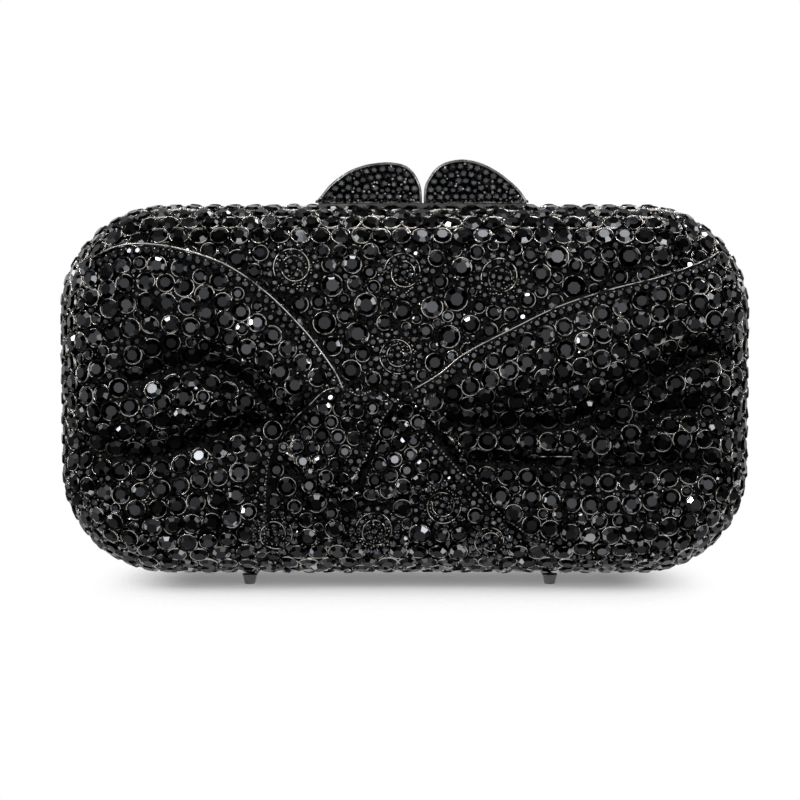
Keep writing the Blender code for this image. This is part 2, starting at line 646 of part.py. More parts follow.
def make_clasp_mount(word, side, group, cutters):
    """The bracket under the frames that carries a petal's pin, with the pin and its leaf spring."""
    place_x = pivot_x(side)
    plate_top = FRAME_TOP - FRAME_WALL - GAP
    ear_end = SLOT_HALF + EAR_THICKNESS
    ear_half = LUG_WIDTH / 2
    ear_low = PIVOT_Z - LUG_TAIL
    slot_reach = LUG_WIDTH / 2 + LUG_SWAY

    def plate(form):
        add_box(form, (place_x - BRACKET_LENGTH / 2, -ear_end, plate_top - BRACKET_PLATE),
                (place_x + BRACKET_LENGTH / 2, ear_end, plate_top))

    def ears(form):
        for y in (-ear_end, SLOT_HALF):
            add_box(form, (place_x - ear_half, y, ear_low),
                    (place_x + ear_half, y + EAR_THICKNESS, plate_top - BRACKET_PLATE / 2))

    def slot(form):
        add_box(form, (place_x - slot_reach, -SLOT_HALF, plate_top - BRACKET_PLATE - OVERRUN),
                (place_x + slot_reach, SLOT_HALF, plate_top + OVERRUN))

    def hole(form):
        add_cylinder(form, CLASP_PIN_RADIUS + GAP, (place_x, -ear_end - OVERRUN, PIVOT_Z),
                     (place_x, ear_end + OVERRUN, PIVOT_Z))

    bracket_name = word + "_clasp_bracket"
    bracket = keep_mesh(bracket_name, mesh_from(bracket_name, plate), group, STEEL)
    for part, builder, how in (("ears", ears, "UNION"), ("slot", slot, "DIFFERENCE"),
                               ("hole", hole, "DIFFERENCE")):
        tool_name = bracket_name + "_" + part
        cut(bracket, keep_mesh(tool_name, mesh_from(tool_name, builder), cutters), how)

    def pin(form):
        add_cylinder(form, CLASP_PIN_RADIUS, (place_x, -ear_end, PIVOT_Z), (place_x, ear_end, PIVOT_Z))

    def spring(form):
        near = ear_half + SPRING_GAP
        ends = sorted((place_x - side * near, place_x - side * (near + SPRING_THICKNESS)))
        add_box(form, (ends[0], -SPRING_WIDTH / 2, ear_low), (ends[1], SPRING_WIDTH / 2, plate_top - GAP))

    keep_mesh(word + "_clasp_pin", mesh_from(word + "_clasp_pin", pin), group, STEEL)
    keep_mesh(word + "_clasp_spring", mesh_from(word + "_clasp_spring", spring), group, STEEL)


def seat_depth(tree, x, z, reach):
    """Greatest depth of the shell's front at a point and at four points a reach away from it."""
    depths = [RIM_START]
    for step_x, step_z in ((0, 0), (reach, 0), (-reach, 0), (0, reach), (0, -reach)):
        start = Vector((x + step_x, -CASE_WIDTH, z + step_z + MIDDLE_Z))
        hit = tree.ray_cast(start, Vector((0, 1, 0)))[0]
        if hit is not None:
            depths.append(-hit.y)
    return max(depths)


def beside(values):
    """Each value of a list with the one before it and the one after it, as three rows."""
    long = np.concatenate([values[:1], values, values[-1:]])
    return np.stack([long[:-2], long[1:-1], long[2:]])


def make_wing_wire(name, shares, tree, group):
    """A round wire along a wing's top edge, lying on the highest of the stones beside each point, evened out."""
    line = smooth_line(shares, WIRE_POINTS)
    seats = np.array([seat_depth(tree, x, z, WIRE_PROBE) for x, z in line])
    depths = beside(beside(seats).max(axis=0)).mean(axis=0) + GAP + WIRE_RADIUS
    curve = bpy.data.curves.new(name, "CURVE")
    curve.dimensions = "3D"
    curve.bevel_depth = WIRE_RADIUS
    curve.bevel_resolution = 1
    curve.use_fill_caps = True
    spline = curve.splines.new("POLY")
    spline.points.add(len(line) - 1)
    for point, (x, z), depth in zip(spline.points, line, depths):
        point.co = (x, -depth, z + MIDDLE_Z, 1)
    thing = bpy.data.objects.new(name, curve)
    group.objects.link(thing)
    paint(thing, name + "_finish", STEEL)


def make_rosette(name, centre, radius, tree, group):
    """A round ornament on the shell: a low dome with a spiral cord raised on it."""
    spokes = np.arange(ROSETTE_SPOKES) * 2 * math.pi / ROSETTE_SPOKES

    def build(form):
        def corner(reach, angle, raised):
            x = centre[0] + reach * math.cos(angle)
            z = centre[1] + reach * math.sin(angle)
            depth = seat_depth(tree, x, z, radius / ROSETTE_RINGS) + GAP
            if raised:
                spiral = math.cos(2 * math.pi * ROSETTE_TURNS * reach / radius - angle)
                depth += ROSETTE_HEIGHT + ROSETTE_CORD * spiral * (reach < radius)
            return form.verts.new((x, -depth, z + MIDDLE_Z))

        for raised in (False, True):
            middle = corner(0, 0, raised)
            inner = None
            for ring_index in range(1, ROSETTE_RINGS + 1):
                reach = radius * ring_index / ROSETTE_RINGS
                ring = [corner(reach, angle, raised) for angle in spokes]
                for index in range(ROSETTE_SPOKES):
                    if inner:
                        form.faces.new((inner[index - 1], inner[index], ring[index], ring[index - 1]))
                    else:
                        form.faces.new((middle, ring[index], ring[index - 1]))
                inner = ring
            if raised:
                bridge(form, base, inner)
            base = inner
    keep_mesh(name, mesh_from(name, build), group, STONES)


def main():
    clear_scene()
    case = new_collection("clutch_bag")
    cutters = new_collection("cutters")

    def barrel(form):
        reach = HINGE_LENGTH / 2 + PIN_HEAD_LENGTH + GAP * 2
        add_cylinder(form, KNUCKLE_CLEAR, (-reach, 0, HINGE_Z), (reach, 0, HINGE_Z))

    def lug_slots(form):
        reach = LUG_WIDTH / 2 + LUG_SWAY
        for side in (-1, 1):
            add_box(form, (pivot_x(side) - reach, -SLOT_HALF, FRAME_TOP - FRAME_WALL - OVERRUN),
                    (pivot_x(side) + reach, SLOT_HALF, FRAME_TOP + OVERRUN))

    frame_cutters = [keep_mesh("barrel_clearance", mesh_from("barrel_clearance", barrel), cutters),
                     keep_mesh("lug_slots", mesh_from("lug_slots", lug_slots), cutters)]

    front_shell = make_shell("front_shell", -1, FRONT_CELLS, FRONT_FLOOR, front_face, True, case)
    make_shell("back_shell", 1, BACK_CELLS, BACK_FLOOR, back_face, False, case)
    make_lining("front_lining", -1, FRONT_FLOOR, case)
    make_lining("back_lining", 1, BACK_FLOOR, case)
    make_frame("front_frame", -1, case, frame_cutters)
    make_frame("back_frame", 1, case, frame_cutters)

    make_hinge_leaf("front_hinge_leaf", -1, 1, case, cutters)
    make_hinge_leaf("back_hinge_leaf", 1, 0, case, cutters)
    make_hinge_pin(case)

    for word, x in (("left", LEFT_FOOT_X), ("right", RIGHT_FOOT_X)):
        make_foot("front_foot_" + word, x, -FOOT_STANCE, case)
        make_foot("back_foot_" + word, x, FOOT_STANCE, case)

    for word, side in (("left", -1), ("right", 1)):
        make_petal(word, side, case, cutters)
        make_clasp_mount(word, side, case, cutters)

    form = bmesh.new()
    form.from_mesh(front_shell.data)
    tree = BVHTree.FromBMesh(form)
    make_wing_wire("left_wing_wire", LEFT_WING_TOP_SHARES, tree, case)
    make_wing_wire("right_wing_wire", RIGHT_WING_TOP_SHARES, tree, case)
    for index, (shares, radius) in enumerate(zip(ROSETTE_SHARES, ROSETTE_RADII), start=1):
        centre = (shares[0] * HALF_WIDTH, shares[1] * HALF_HEIGHT)
        make_rosette(f"rosette_{index}", centre, radius, tree, case)
    form.free()


main()
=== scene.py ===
"""Looks of a hard evening clutch: two hinged halves set with black stones in metal cups, a bow in relief."""
import math

import bpy
import numpy as np
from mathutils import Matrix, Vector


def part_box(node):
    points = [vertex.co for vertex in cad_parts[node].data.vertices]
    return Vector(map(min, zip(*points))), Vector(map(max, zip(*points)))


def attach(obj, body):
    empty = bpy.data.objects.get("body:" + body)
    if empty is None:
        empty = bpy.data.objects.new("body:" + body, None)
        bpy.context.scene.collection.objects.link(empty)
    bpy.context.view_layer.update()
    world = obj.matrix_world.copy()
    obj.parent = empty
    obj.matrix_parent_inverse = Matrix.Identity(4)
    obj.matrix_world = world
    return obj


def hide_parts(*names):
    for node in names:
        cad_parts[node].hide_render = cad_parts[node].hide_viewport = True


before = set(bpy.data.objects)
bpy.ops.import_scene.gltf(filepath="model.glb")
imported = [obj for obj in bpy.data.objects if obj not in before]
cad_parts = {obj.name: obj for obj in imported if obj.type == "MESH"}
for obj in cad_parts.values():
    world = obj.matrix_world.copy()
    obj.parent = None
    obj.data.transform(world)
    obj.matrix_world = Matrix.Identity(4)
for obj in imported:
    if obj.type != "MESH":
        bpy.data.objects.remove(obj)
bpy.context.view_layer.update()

# The case, read from the frame
SHELL_LOW, SHELL_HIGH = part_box("back_shell")
HALF_WIDTH = SHELL_HIGH[0]
HALF_HEIGHT = (SHELL_HIGH[2] - SHELL_LOW[2]) / 2
MIDDLE_Z = (SHELL_HIGH[2] + SHELL_LOW[2]) / 2
RIM_START = SHELL_LOW[1]
CORNER_RADIUS = 0.028
EDGE_ROUND = 0.0155
SHELL_WALL = 0.0022
GAP = 0.0003
LINING_THICKNESS = 0.0008
STEEP_TURN = 0.7
FRONT_DEPTH = 0.0216
BACK_DEPTH = 0.0236
FRONT_CROWN = 0.0015
BACK_CROWN = 0.0039

# Relief of the bow
WING_RISE = 0.0026
LEFT_TAIL_RISE = 0.0032
RIGHT_TAIL_RISE = 0.0020
KNOT_RISE = 0.0018
KNOT_WIDTH = 0.0120
KNOT_HEIGHT = 0.0070
STEP_WIDTH = 0.0020
PLEAT_DEPTH = 0.0040
PLEAT_WIDTH = 0.0046
RIDGE_RISE = 0.0013
PLEAT_SHARPNESS = 1.45

# Clasp
CLASP_X = 0.00475
PETAL_WIDTH = 0.0277
PETAL_THICKNESS = 0.0026
PETAL_GAP = 0.0004
FRAME_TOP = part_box("front_frame")[1][2]
PETAL_FOOT_Z = FRAME_TOP + 0.0012
PETAL_TOP_Z = {"left": 0.1103, "right": 0.1110}
PETAL_BEZEL = 0.0008
PETAL_RECESS = 0.0006
LUG_WIDTH = 0.0050
LUG_THICKNESS = 0.0020
LUG_END = 0.0020
LUG_ROUND = 0.0002

# Lips between the frames at the sides, and rails beside the petals' feet
LIP_INSET = 0.0037
LIP_THICKNESS = 0.0006
LIP_REACH = (-0.0012, 0.0024)
LIP_END_X = 0.042
LIP_FOOT_Z = -0.034
RAIL_SPAN = (0.00230, 0.00285)
RAIL_RISE = 0.0003
RAIL_BUMP = 0.00022

# Stones: radii, depths, and how much they lean at random
CUP_RADIUS = 0.00262
SMALL_RADIUS = 0.00100
STONE_PROUD = 0.00012
CROWN_SHARE = 0.29
SKIN_SINK = 0.0016
CUP_BASE = 0.0015
STONE_TILT = 0.085
SMALL_TILT = STONE_TILT * 1.4
BUTTON_TILT = 0.14

# Rows of stones: reach round the edge from its rim, distance along and between rows, and random shift
EDGE_REACHES = (0.0031, 0.0079, 0.0127, 0.0175)
EDGE_PITCH = 0.0052
ROW_PITCH, ROW_SPACING, ROW_SHIFT = 0.00515, 0.00465, 0.00012
BACK_PITCH, BACK_SPACING, BACK_SHIFT = 0.00525, 0.00458, 0.00008
CREASE_OFFSET = 0.00250
BEADING_PITCH = 0.00225
FACE_START = 0.003

# How tight each field is set: 1 keeps all rims apart, and less lets them overlap
TIGHT = {"edge": 0.93, "crease": 0.92, "wing": 0.89, "tail": 0.93, "rim_row": 0.94, "ground": 1.04,
         "back": 0.955, "beads": 0.9, "wires": 0.3}
FILL_EASE, WING_FILL_EASE = 0.98, 1.08

# How the radii vary at random in each field, and how far inside a loop stones stay
SPREAD = {"wing": (0.93, 1.03), "ground": (0.93, 1.05), "back": (0.93, 1.02), "rosette": (0.88, 1.06)}
WING_MARGIN, TAIL_MARGIN = 0.0014, -0.0004
EDGE_SCATTER = (0.0012, 0.0130, 24)

# Small stones and beads in rows: beside the wing wires, and along the folds
WIRE_ROOM, FOLD_ROOM = 0.0004, 0.0003
SMALL_ROW_OFFSET, BEAD_ROW_OFFSET = 0.00155, 0.0008
ROW_BEAD_RADIUS, FOLD_BEAD_RADIUS = 0.00030, 0.00034
FOLD_BEAD_PITCH, FOLD_STONE_PITCH = 0.00100, 0.0023
FOLD_STONE_OFFSET = 0.0014

# Stones of the tails: the angle and pitch of each one's rows. Stones of the ground: radius and tries
TAIL_ROWS = ((0.95, 0.0041), (-0.75, 0.0042))
TAIL_RADII = (0.00175, 0.00212)
GROUND_STONES = ((0.0031, 60), (0.0027, 400), (0.0023, 400), (0.0019, 400))

# What fills the gaps, as the largest and the least radius, and the share of places that may hold a bead
WING_FILL = (0.0026, 0.0019)
STONE_FILL = {"front": (0.0021, 0.00130), "back": (0.0026, 0.00130)}
SMALL_FILL = (0.00105, 0.00068)
BEAD_RADIUS, GRIT_RADIUS = 0.00036, 0.00045
LEAST_BEAD = {"front": 0.00022, "back": 0.00024}
BEAD_SHARE = 0.20

# Petals: rounds of stones in from the bezel, what fills the gaps, and the chips along the foot
PETAL_ROUNDS = 5
PETAL_ROUND_START, PETAL_ROUND_STEP = 0.00098, 0.00188
PETAL_PITCH = 0.00200
PETAL_RADII = (0.00100, 0.00114)
PETAL_FILL = (0.00108, 0.00060)
PETAL_BEADS = (0.00040, 0.00024)
PETAL_SOFT = 0.00020
CHIP_PITCH, CHIP_MARGIN = 0.00075, 0.0012
CHIP_RISE, CHIP_RADII = (0.0007, 0.0012), (0.00028, 0.00060)

# Rosettes: the ring of wire and its second round as shares of the radius, and the turns in degrees
ROSETTE_RING, ROSETTE_OPEN = 0.46, 0.76
ROSETTE_TURN, ROSETTE_OPENS_AT, ROSETTE_OPENING = 560, 200, 260
ROSETTE_BEADS = (0.00022, 0.00036)

# How far the beads of a rosette stay from its stones, its wire and each other, and how deep they sit
BEAD_CLEAR = {"stones": 0.00022, "wire": 0.0004, "beads": 0.0006}
BEAD_SINK = 0.00035

# Wires: radii, and how far the wing wires lie outside the wings' edges
WIRE_RADIUS = {"left": 0.00023, "right": 0.00018}
FOLD_WIRE_RADIUS = 0.00016
ROSETTE_WIRE_RADIUS = 0.00014
WIRE_OFFSET = 0.0007
WIRE_STEP = 0.0008

# Light that tables send back: a share of all tables, and the least and most that those up to it send
TABLE_GLINTS = ((0.91, 0.62, 0.73), (0.975, 0.75, 0.82), (0.996, 0.84, 0.88), (1.0, 0.96, 1.0))
TAIL_GLINTS = ((0.50, 0.58, 0.70), (0.82, 0.74, 0.82), (0.95, 0.84, 0.89), (1.0, 0.92, 0.97))

# The glint of faces that are lit alike: the least, and what chance adds to it
EVEN_GLINT = (0.92, 0.16)

# Painted shade in the pleats, scaled into the stones' and cups' glint: its depth, its width, and how far
# above each pleat's line it lies
PLEAT_SHADE = 0.33
PLEAT_SHADE_WIDTH = 0.0034
PLEAT_SHADE_LIFT = 0.0030

# Grids of the skins and linings: the share of a grid that lies on the face, and the puckers of the cloth
FLAT_SHARE = 0.72
SKIN_CELLS = (170, 96)
LINING_CELLS = (110, 62)
PUCKER_DEPTH = 0.00012

# Camera, and the photograph's scale
CAMERA_DISTANCE = 0.700
CAMERA_LIFT = math.radians(5.5)
PHOTO_WIDTH_PX = 800
PX_PER_METRE = 3784.0
BODY_MIDDLE_PX = (404.7, 388.0)
SENSOR_WIDTH = 36.0

# Studio: brightness between the screens, of the soft box, and of the floor as stones mirror it near and far;
# the floor's mirrored brightness is a painted glow, with painted shade a little way out from the case
SCREEN_DARK = 0.13
FRONT_SCREEN, BACK_SCREEN, SIDE_SCREEN = (0.55, 0.85), (0.26, 0.64), (0.960, 0.985)
ROOM_HEIGHTS = ((0, 0.55), (0.10, 0.78), (0.42, 0.78), (0.58, 0.46), (0.78, 0.20), (0.92, 0.10), (1, 0.10))
LIGHT_HEIGHTS = ((0, 0.0), (0.01, 0.16), (0.30, 0.20), (0.60, 0.36), (0.80, 0.85), (1, 1.0))
OVERHEAD_LIGHT = 1.75
FLOOR_REACH = 3.0
FLOOR_NEAR_AT, FLOOR_NEAR = (0.026, 0.046), (0.40, 0.05)
FLOOR_FAR_AT, FLOOR_FAR = (0.08, 0.36), (0.05, 0.62)
SHADOW_SHARE = 0.80
SHADOW_ENDS = {"X": (0.054, 0.084), "Y": (0.000, 0.060)}
HANGING_LIGHT = (0.70, 0.97)
HANGING_REACH = 0.06

# Lamps: place, width, height and power
LAMPS = {"key": ((-0.62, -0.45, 0.80), 0.20, 0.20, 1.5),
         "side": ((0.85, -0.40, 0.50), 0.12, 0.22, 0.8),
         "fill": ((-0.95, -0.28, 0.22), 0.12, 0.20, 0.5),
         "top": ((0.10, -0.05, 1.10), 0.30, 0.20, 1.2),
         "back_key": ((0.62, 0.50, 0.80), 0.20, 0.20, 1.5),
         "back_side": ((-0.85, 0.40, 0.50), 0.12, 0.22, 0.8)}

SEED = 11

# Tables of places, as shares of the case's half width and half height from its middle
LEFT_WING_TOP_SHARES = [(-0.165, 0.039), (-0.189, 0.136), (-0.241, 0.276), (-0.287, 0.381), (-0.381, 0.556),
                        (-0.496, 0.706), (-0.627, 0.792), (-0.731, 0.821), (-0.818, 0.806), (-0.891, 0.743)]
RIGHT_WING_TOP_SHARES = [(-0.010, 0.023), (0.088, 0.129), (0.167, 0.245), (0.307, 0.381), (0.431, 0.492),
                         (0.575, 0.581), (0.719, 0.649), (0.842, 0.729), (0.893, 0.772)]
LEFT_WING_FOOT_SHARES = [(-0.402, -0.864), (-0.396, -0.757), (-0.389, -0.544), (-0.377, -0.305),
                         (-0.338, -0.183), (-0.273, -0.067), (-0.193, 0.007)]
RIGHT_WING_FOOT_SHARES = [(0.429, -0.874), (0.358, -0.784), (0.287, -0.624), (0.193, -0.437),
                          (0.120, -0.257), (0.060, -0.130), (0.004, -0.030)]
LEFT_TAIL_SHARES = [(-0.165, 0.039), (-0.239, -0.003), (-0.292, -0.088), (-0.335, -0.178), (-0.366, -0.289),
                    (-0.307, -0.384), (-0.231, -0.491), (-0.157, -0.554), (-0.123, -0.400), (-0.086, -0.268),
                    (-0.055, -0.130), (-0.022, -0.019), (-0.089, 0.030)]
RIGHT_TAIL_SHARES = [(-0.022, -0.019), (-0.086, -0.268), (-0.146, -0.544), (-0.039, -0.544), (0.075, -0.512),
                     (0.182, -0.427), (0.120, -0.268), (0.060, -0.141), (0.004, -0.040)]
PLEAT_SHARES = [[(-0.340, -0.190), (-0.395, -0.060), (-0.483, 0.085), (-0.612, 0.150), (-0.701, 0.110),
                 (-0.766, 0.050)],
                [(-0.400, -0.160), (-0.549, -0.235), (-0.678, -0.325), (-0.807, -0.345), (-0.922, -0.290)],
                [(0.150, -0.175), (0.348, -0.182), (0.503, -0.146), (0.732, 0.094), (0.898, 0.214)],
                [(0.503, -0.146), (0.580, -0.160), (0.755, -0.096), (0.860, -0.090)],
                [(0.207, -0.360), (0.414, -0.385), (0.606, -0.405), (0.840, -0.365)]]
RIDGE_SHARES = [[(-0.330, 0.010), (-0.440, 0.330), (-0.620, 0.520), (-0.800, 0.480)],
                [(-0.400, -0.030), (-0.600, 0.020), (-0.850, -0.050)],
                [(0.180, 0.060), (0.450, 0.230), (0.850, 0.520)],
                [(0.230, -0.215), (0.420, -0.220), (0.790, -0.190)]]
KNOT_SHARES = (-0.100, -0.020)
ROSETTE_SHARES = [(-0.316, 0.680), (-0.005, 0.654), (0.270, 0.628), (-0.019, 0.218),
                  (-0.371, -0.736), (-0.087, -0.725), (0.109, -0.586), (0.246, -0.784)]
ROSETTE_RADII = [0.0066, 0.0064, 0.0064, 0.0062, 0.0058, 0.0064, 0.0060, 0.0054]
PETAL_SHARES = {
    "left": [(0.000, 0.000), (0.002, 0.248), (0.017, 0.461), (0.057, 0.674), (0.115, 0.851), (0.170, 0.930),
             (0.236, 0.976), (0.330, 1.000), (0.445, 0.975), (0.560, 0.922), (0.718, 0.763), (0.872, 0.479),
             (0.962, 0.213), (1.018, 0.030)],
    "right": [(0.000, 0.000), (0.002, 0.230), (0.010, 0.390), (0.038, 0.548), (0.102, 0.767), (0.177, 0.900),
              (0.268, 0.973), (0.374, 1.000), (0.479, 0.967), (0.585, 0.883), (0.706, 0.733), (0.811, 0.550),
              (0.902, 0.350), (0.962, 0.167), (1.000, 0.030)]}

# Rows of stones on the wings follow these lines, read from the photograph in its pixels
PHOTO_MIDDLE_PX = (403.6, 397.4)
PHOTO_SCALE = (0.0002538, 0.0002550)
LEFT_ROW_GUIDES_PX = [
    [(88, 270), (125, 253), (160, 252), (202, 265), (243, 288), (270, 310), (300, 345), (335, 388)],
    [(70, 330), (110, 318), (150, 312), (200, 320), (240, 338), (270, 358), (300, 380), (325, 396)],
    [(62, 395), (100, 384), (136, 366), (170, 350), (205, 352), (240, 372), (270, 398), (300, 410)],
    [(62, 432), (95, 442), (130, 446), (164, 436), (200, 425), (235, 415), (262, 410), (288, 420)],
    [(70, 480), (110, 488), (150, 482), (190, 472), (225, 465), (250, 460), (262, 458), (270, 460)],
    [(90, 540), (130, 552), (170, 556), (210, 556), (235, 553), (250, 548), (258, 545), (264, 540)]]
RIGHT_ROW_GUIDES_PX = [
    [(418, 398), (453, 370), (498, 343), (550, 321), (608, 302), (667, 286), (722, 268)],
    [(425, 408), (470, 395), (530, 372), (590, 350), (640, 328), (690, 312), (742, 305)],
    [(428, 415), (482, 413), (532, 411), (590, 404), (645, 386), (690, 366), (744, 350)],
    [(440, 428), (486, 440), (545, 441), (600, 438), (650, 432), (700, 424), (744, 415)],
    [(455, 445), (490, 459), (550, 466), (618, 470), (670, 462), (710, 452), (742, 445)],
    [(480, 482), (520, 500), (570, 512), (620, 514), (665, 508), (705, 496), (735, 485)],
    [(545, 558), (570, 562), (600, 564), (630, 563), (660, 556), (690, 545), (715, 530)]]

# Thin wires and rows of beads that draw the bow's folds, in the same pixels
FOLD_WIRES_PX = [[(345, 386), (328, 389), (319, 394), (307, 406), (295, 417), (286, 429), (279, 441)],
                 [(540, 458), (572, 458)]]
FOLD_BEADS_PX = [[(275, 445), (268, 462), (265, 485), (264, 512), (263, 540)],
                 [(399, 398), (387, 413), (378, 427), (371, 444), (366, 458), (356, 474)],
                 [(424, 432), (446, 458), (468, 482), (492, 508), (520, 534), (557, 549)],
                 [(345, 388), (358, 393), (371, 389)]]

RNG = np.random.default_rng(SEED)


def side_point(share, half_run, half_rise, radius):
    """A point of one long side of a rounded rectangle: the straight run and half of each corner."""
    straight = half_run - radius
    length = straight + radius * math.pi / 4
    along = abs(share) * length
    turn = np.maximum(along - straight, 0) / radius
    run = np.where(along <= straight, along, straight + radius * np.sin(turn))
    rise = half_rise - radius * (1 - np.cos(turn))
    return np.sign(share) * run, rise


def outline(across, up, inset):
    """Points of the case's outline, drawn in by inset, for places on the rim of a square from -1 to 1."""
    radius = CORNER_RADIUS - inset
    wide = HALF_WIDTH - inset
    high = HALF_HEIGHT - inset
    on_top = np.abs(up) >= np.abs(across)
    top_x, top_z = side_point(across, wide, high, radius)
    end_z, end_x = side_point(up, high, wide, radius)
    x = np.where(on_top, top_x, np.sign(across) * end_x)
    z = np.where(on_top, np.sign(up) * top_z, end_z)
    return x, z


def inset_at(x, z):
    """How far a point lies inside the case's outline."""
    run = np.abs(x) - (HALF_WIDTH - CORNER_RADIUS)
    rise = np.abs(z) - (HALF_HEIGHT - CORNER_RADIUS)
    outside = np.hypot(np.maximum(run, 0), np.maximum(rise, 0))
    inside = np.minimum(np.maximum(run, rise), 0)
    return CORNER_RADIUS - outside - inside


def through(table, count):
    """Points at even steps on a Catmull-Rom curve through a table of places."""
    table = np.asarray(table, float)
    table = np.vstack([2 * table[0] - table[1], table, 2 * table[-1] - table[-2]])
    spans = len(table) - 3
    place = np.linspace(0, spans, count)
    first = np.minimum(place.astype(int), spans - 1)
    t = (place - first)[:, None]
    a, b, c, d = (table[first + step] for step in range(4))
    return (2 * b + (c - a) * t + (2 * a - 5 * b + 4 * c - d) * t**2 + (3 * b - a - 3 * c + d) * t**3) / 2


def from_shares(shares, count):
    return through(np.array(shares) * (HALF_WIDTH, HALF_HEIGHT), count)


def from_photo(table, count):
    """A smooth line on the face through places given in the photograph's pixels."""
    table = np.array(table, float) - PHOTO_MIDDLE_PX
    return through(table * (PHOTO_SCALE[0], -PHOTO_SCALE[1]), count)


def distance_to(x, z, line, closed=False):
    """Least distance from each point to a line of straight pieces, and whether a loop holds the point."""
    ends = np.roll(line, -1, axis=0)
    pairs = list(zip(line, ends)) if closed else list(zip(line[:-1], line[1:]))
    best = np.full(np.shape(x), np.inf)
    held = np.zeros(np.shape(x), bool)
    for (ax, az), (bx, bz) in pairs:
        run, rise = bx - ax, bz - az
        share = np.clip(((x - ax) * run + (z - az) * rise) / (run**2 + rise**2), 0, 1)
        best = np.minimum(best, np.hypot(x - ax - share * run, z - az - share * rise))
        crosses = (az > z) != (bz > z)
        held = held ^ (crosses & (x < ax + (z - az) * run / (rise or math.inf)))
    return best, held


def signed_distance(x, z, line):
    away, held = distance_to(x, z, line, closed=True)
    return np.where(held, away, -away)


def plateau(x, z, line):
    """1 inside a closed loop and 0 outside, with a smooth step of STEP_WIDTH at its edge."""
    level = np.clip(signed_distance(x, z, line) / STEP_WIDTH + 0.5, 0, 1)
    return level * level * (3 - 2 * level)


def wing_loop(top_shares, foot_shares, side):
    """A wing's loop: its top edge from the knot, round beyond the case's corner, and back along its foot."""
    corner_shares = [(side * 1.2, top_shares[-1][1]), (side * 1.2, -1.2), (foot_shares[0][0], -1.2)]
    corners = np.array(corner_shares) * (HALF_WIDTH, HALF_HEIGHT)
    return np.vstack([from_shares(top_shares, 24), corners, from_shares(foot_shares, 16)])


LEFT_WING = wing_loop(LEFT_WING_TOP_SHARES, LEFT_WING_FOOT_SHARES, -1)
RIGHT_WING = wing_loop(RIGHT_WING_TOP_SHARES, RIGHT_WING_FOOT_SHARES, 1)
LEFT_TAIL = np.array(LEFT_TAIL_SHARES) * (HALF_WIDTH, HALF_HEIGHT)
RIGHT_TAIL = np.array(RIGHT_TAIL_SHARES) * (HALF_WIDTH, HALF_HEIGHT)
PLEATS = [from_shares(shares, 16) for shares in PLEAT_SHARES]
RIDGES = [from_shares(shares, 12) for shares in RIDGE_SHARES]
ROSETTE_CENTRES = np.array(ROSETTE_SHARES) * (HALF_WIDTH, HALF_HEIGHT)


def bow_relief(x, z):
    """Height of the bow over the plain face: level wings and tails, less the pleats, plus ridges and knot."""
    wings = WING_RISE * np.maximum(plateau(x, z, LEFT_WING), plateau(x, z, RIGHT_WING))
    tails = np.maximum(LEFT_TAIL_RISE * plateau(x, z, LEFT_TAIL), RIGHT_TAIL_RISE * plateau(x, z, RIGHT_TAIL))
    height = np.maximum(wings, tails)
    pleat = np.zeros(np.shape(x))
    for line in PLEATS:
        away, _ = distance_to(x, z, line)
        pleat = np.maximum(pleat, np.exp(-(away / PLEAT_WIDTH) ** PLEAT_SHARPNESS))
    for line in RIDGES:
        away, _ = distance_to(x, z, line)
        height = height + RIDGE_RISE * np.exp(-(away / PLEAT_WIDTH) ** 2)
    run = (x - KNOT_SHARES[0] * HALF_WIDTH) / KNOT_WIDTH
    rise = (z - KNOT_SHARES[1] * HALF_HEIGHT) / KNOT_HEIGHT
    return height - PLEAT_DEPTH * pleat + KNOT_RISE * np.exp(-(run**2 + rise**2))


class Half:
    """One half of the case: which way it faces, and the depth of its outer face at each place."""

    def __init__(self, body, side, flat, floor, crown, relief):
        self.body = body
        self.side = side
        self.flat = flat
        self.floor = floor
        self.crown = crown
        self.relief = relief

    def depth(self, x, z):
        """A rounded edge, then the flat with its crown, and the relief faded in over the edge."""
        inset = np.clip(inset_at(x, z), 0, EDGE_ROUND)
        bend = np.sqrt(np.maximum(1 - (1 - inset / EDGE_ROUND) ** 2, 0))
        crown = self.crown * (1 - (x / HALF_WIDTH) ** 2) * (1 - (z / HALF_HEIGHT) ** 2)
        extra = crown + bow_relief(x, z) if self.relief else crown
        return RIM_START + (self.flat - RIM_START + extra) * bend

    def point(self, x, z):
        return np.stack([x, self.side * self.depth(x, z), z + MIDDLE_Z], -1)

    def on_face(self, x, z, reach=0.0003):
        """Points and outward normals of the outer face, the slope taken between neighbours a reach apart."""
        x, z = np.asarray(x, float), np.asarray(z, float)
        slope_x = (self.depth(x + reach, z) - self.depth(x - reach, z)) / (2 * reach)
        slope_z = (self.depth(x, z + reach) - self.depth(x, z - reach)) / (2 * reach)
        normal = np.stack([-slope_x, np.full(x.shape, float(self.side)), -slope_z], -1)
        return self.point(x, z), unit(normal)

    def on_edge(self, shares, turn):
        """Points and normals round the rounded edge, at shares of its girth and one turn from the rim."""
        x, z, out_x, out_z = along_outline(EDGE_ROUND * (1 - math.cos(turn)), shares)
        if turn > STEEP_TURN:
            return self.on_face(x, z)
        lean = math.cos(turn) / EDGE_ROUND
        rise = math.sin(turn) / (self.flat - RIM_START)
        normal = np.stack([out_x * lean, np.full(x.shape, self.side * rise), out_z * lean], -1)
        return self.point(x, z), unit(normal)

    def turn_at(self, reach):
        """The turn at which the rounded edge has run a length of reach from the rim."""
        turns = np.linspace(0, math.pi / 2, 200)
        run = np.hypot(EDGE_ROUND * np.sin(turns), (self.flat - RIM_START) * np.cos(turns))
        length = np.concatenate([[0], np.cumsum((run[1:] + run[:-1]) / 2 * np.diff(turns))])
        return float(np.interp(reach, length, turns))


def unit(vectors):
    return vectors / np.maximum(np.linalg.norm(vectors, axis=-1, keepdims=True), 1e-12)


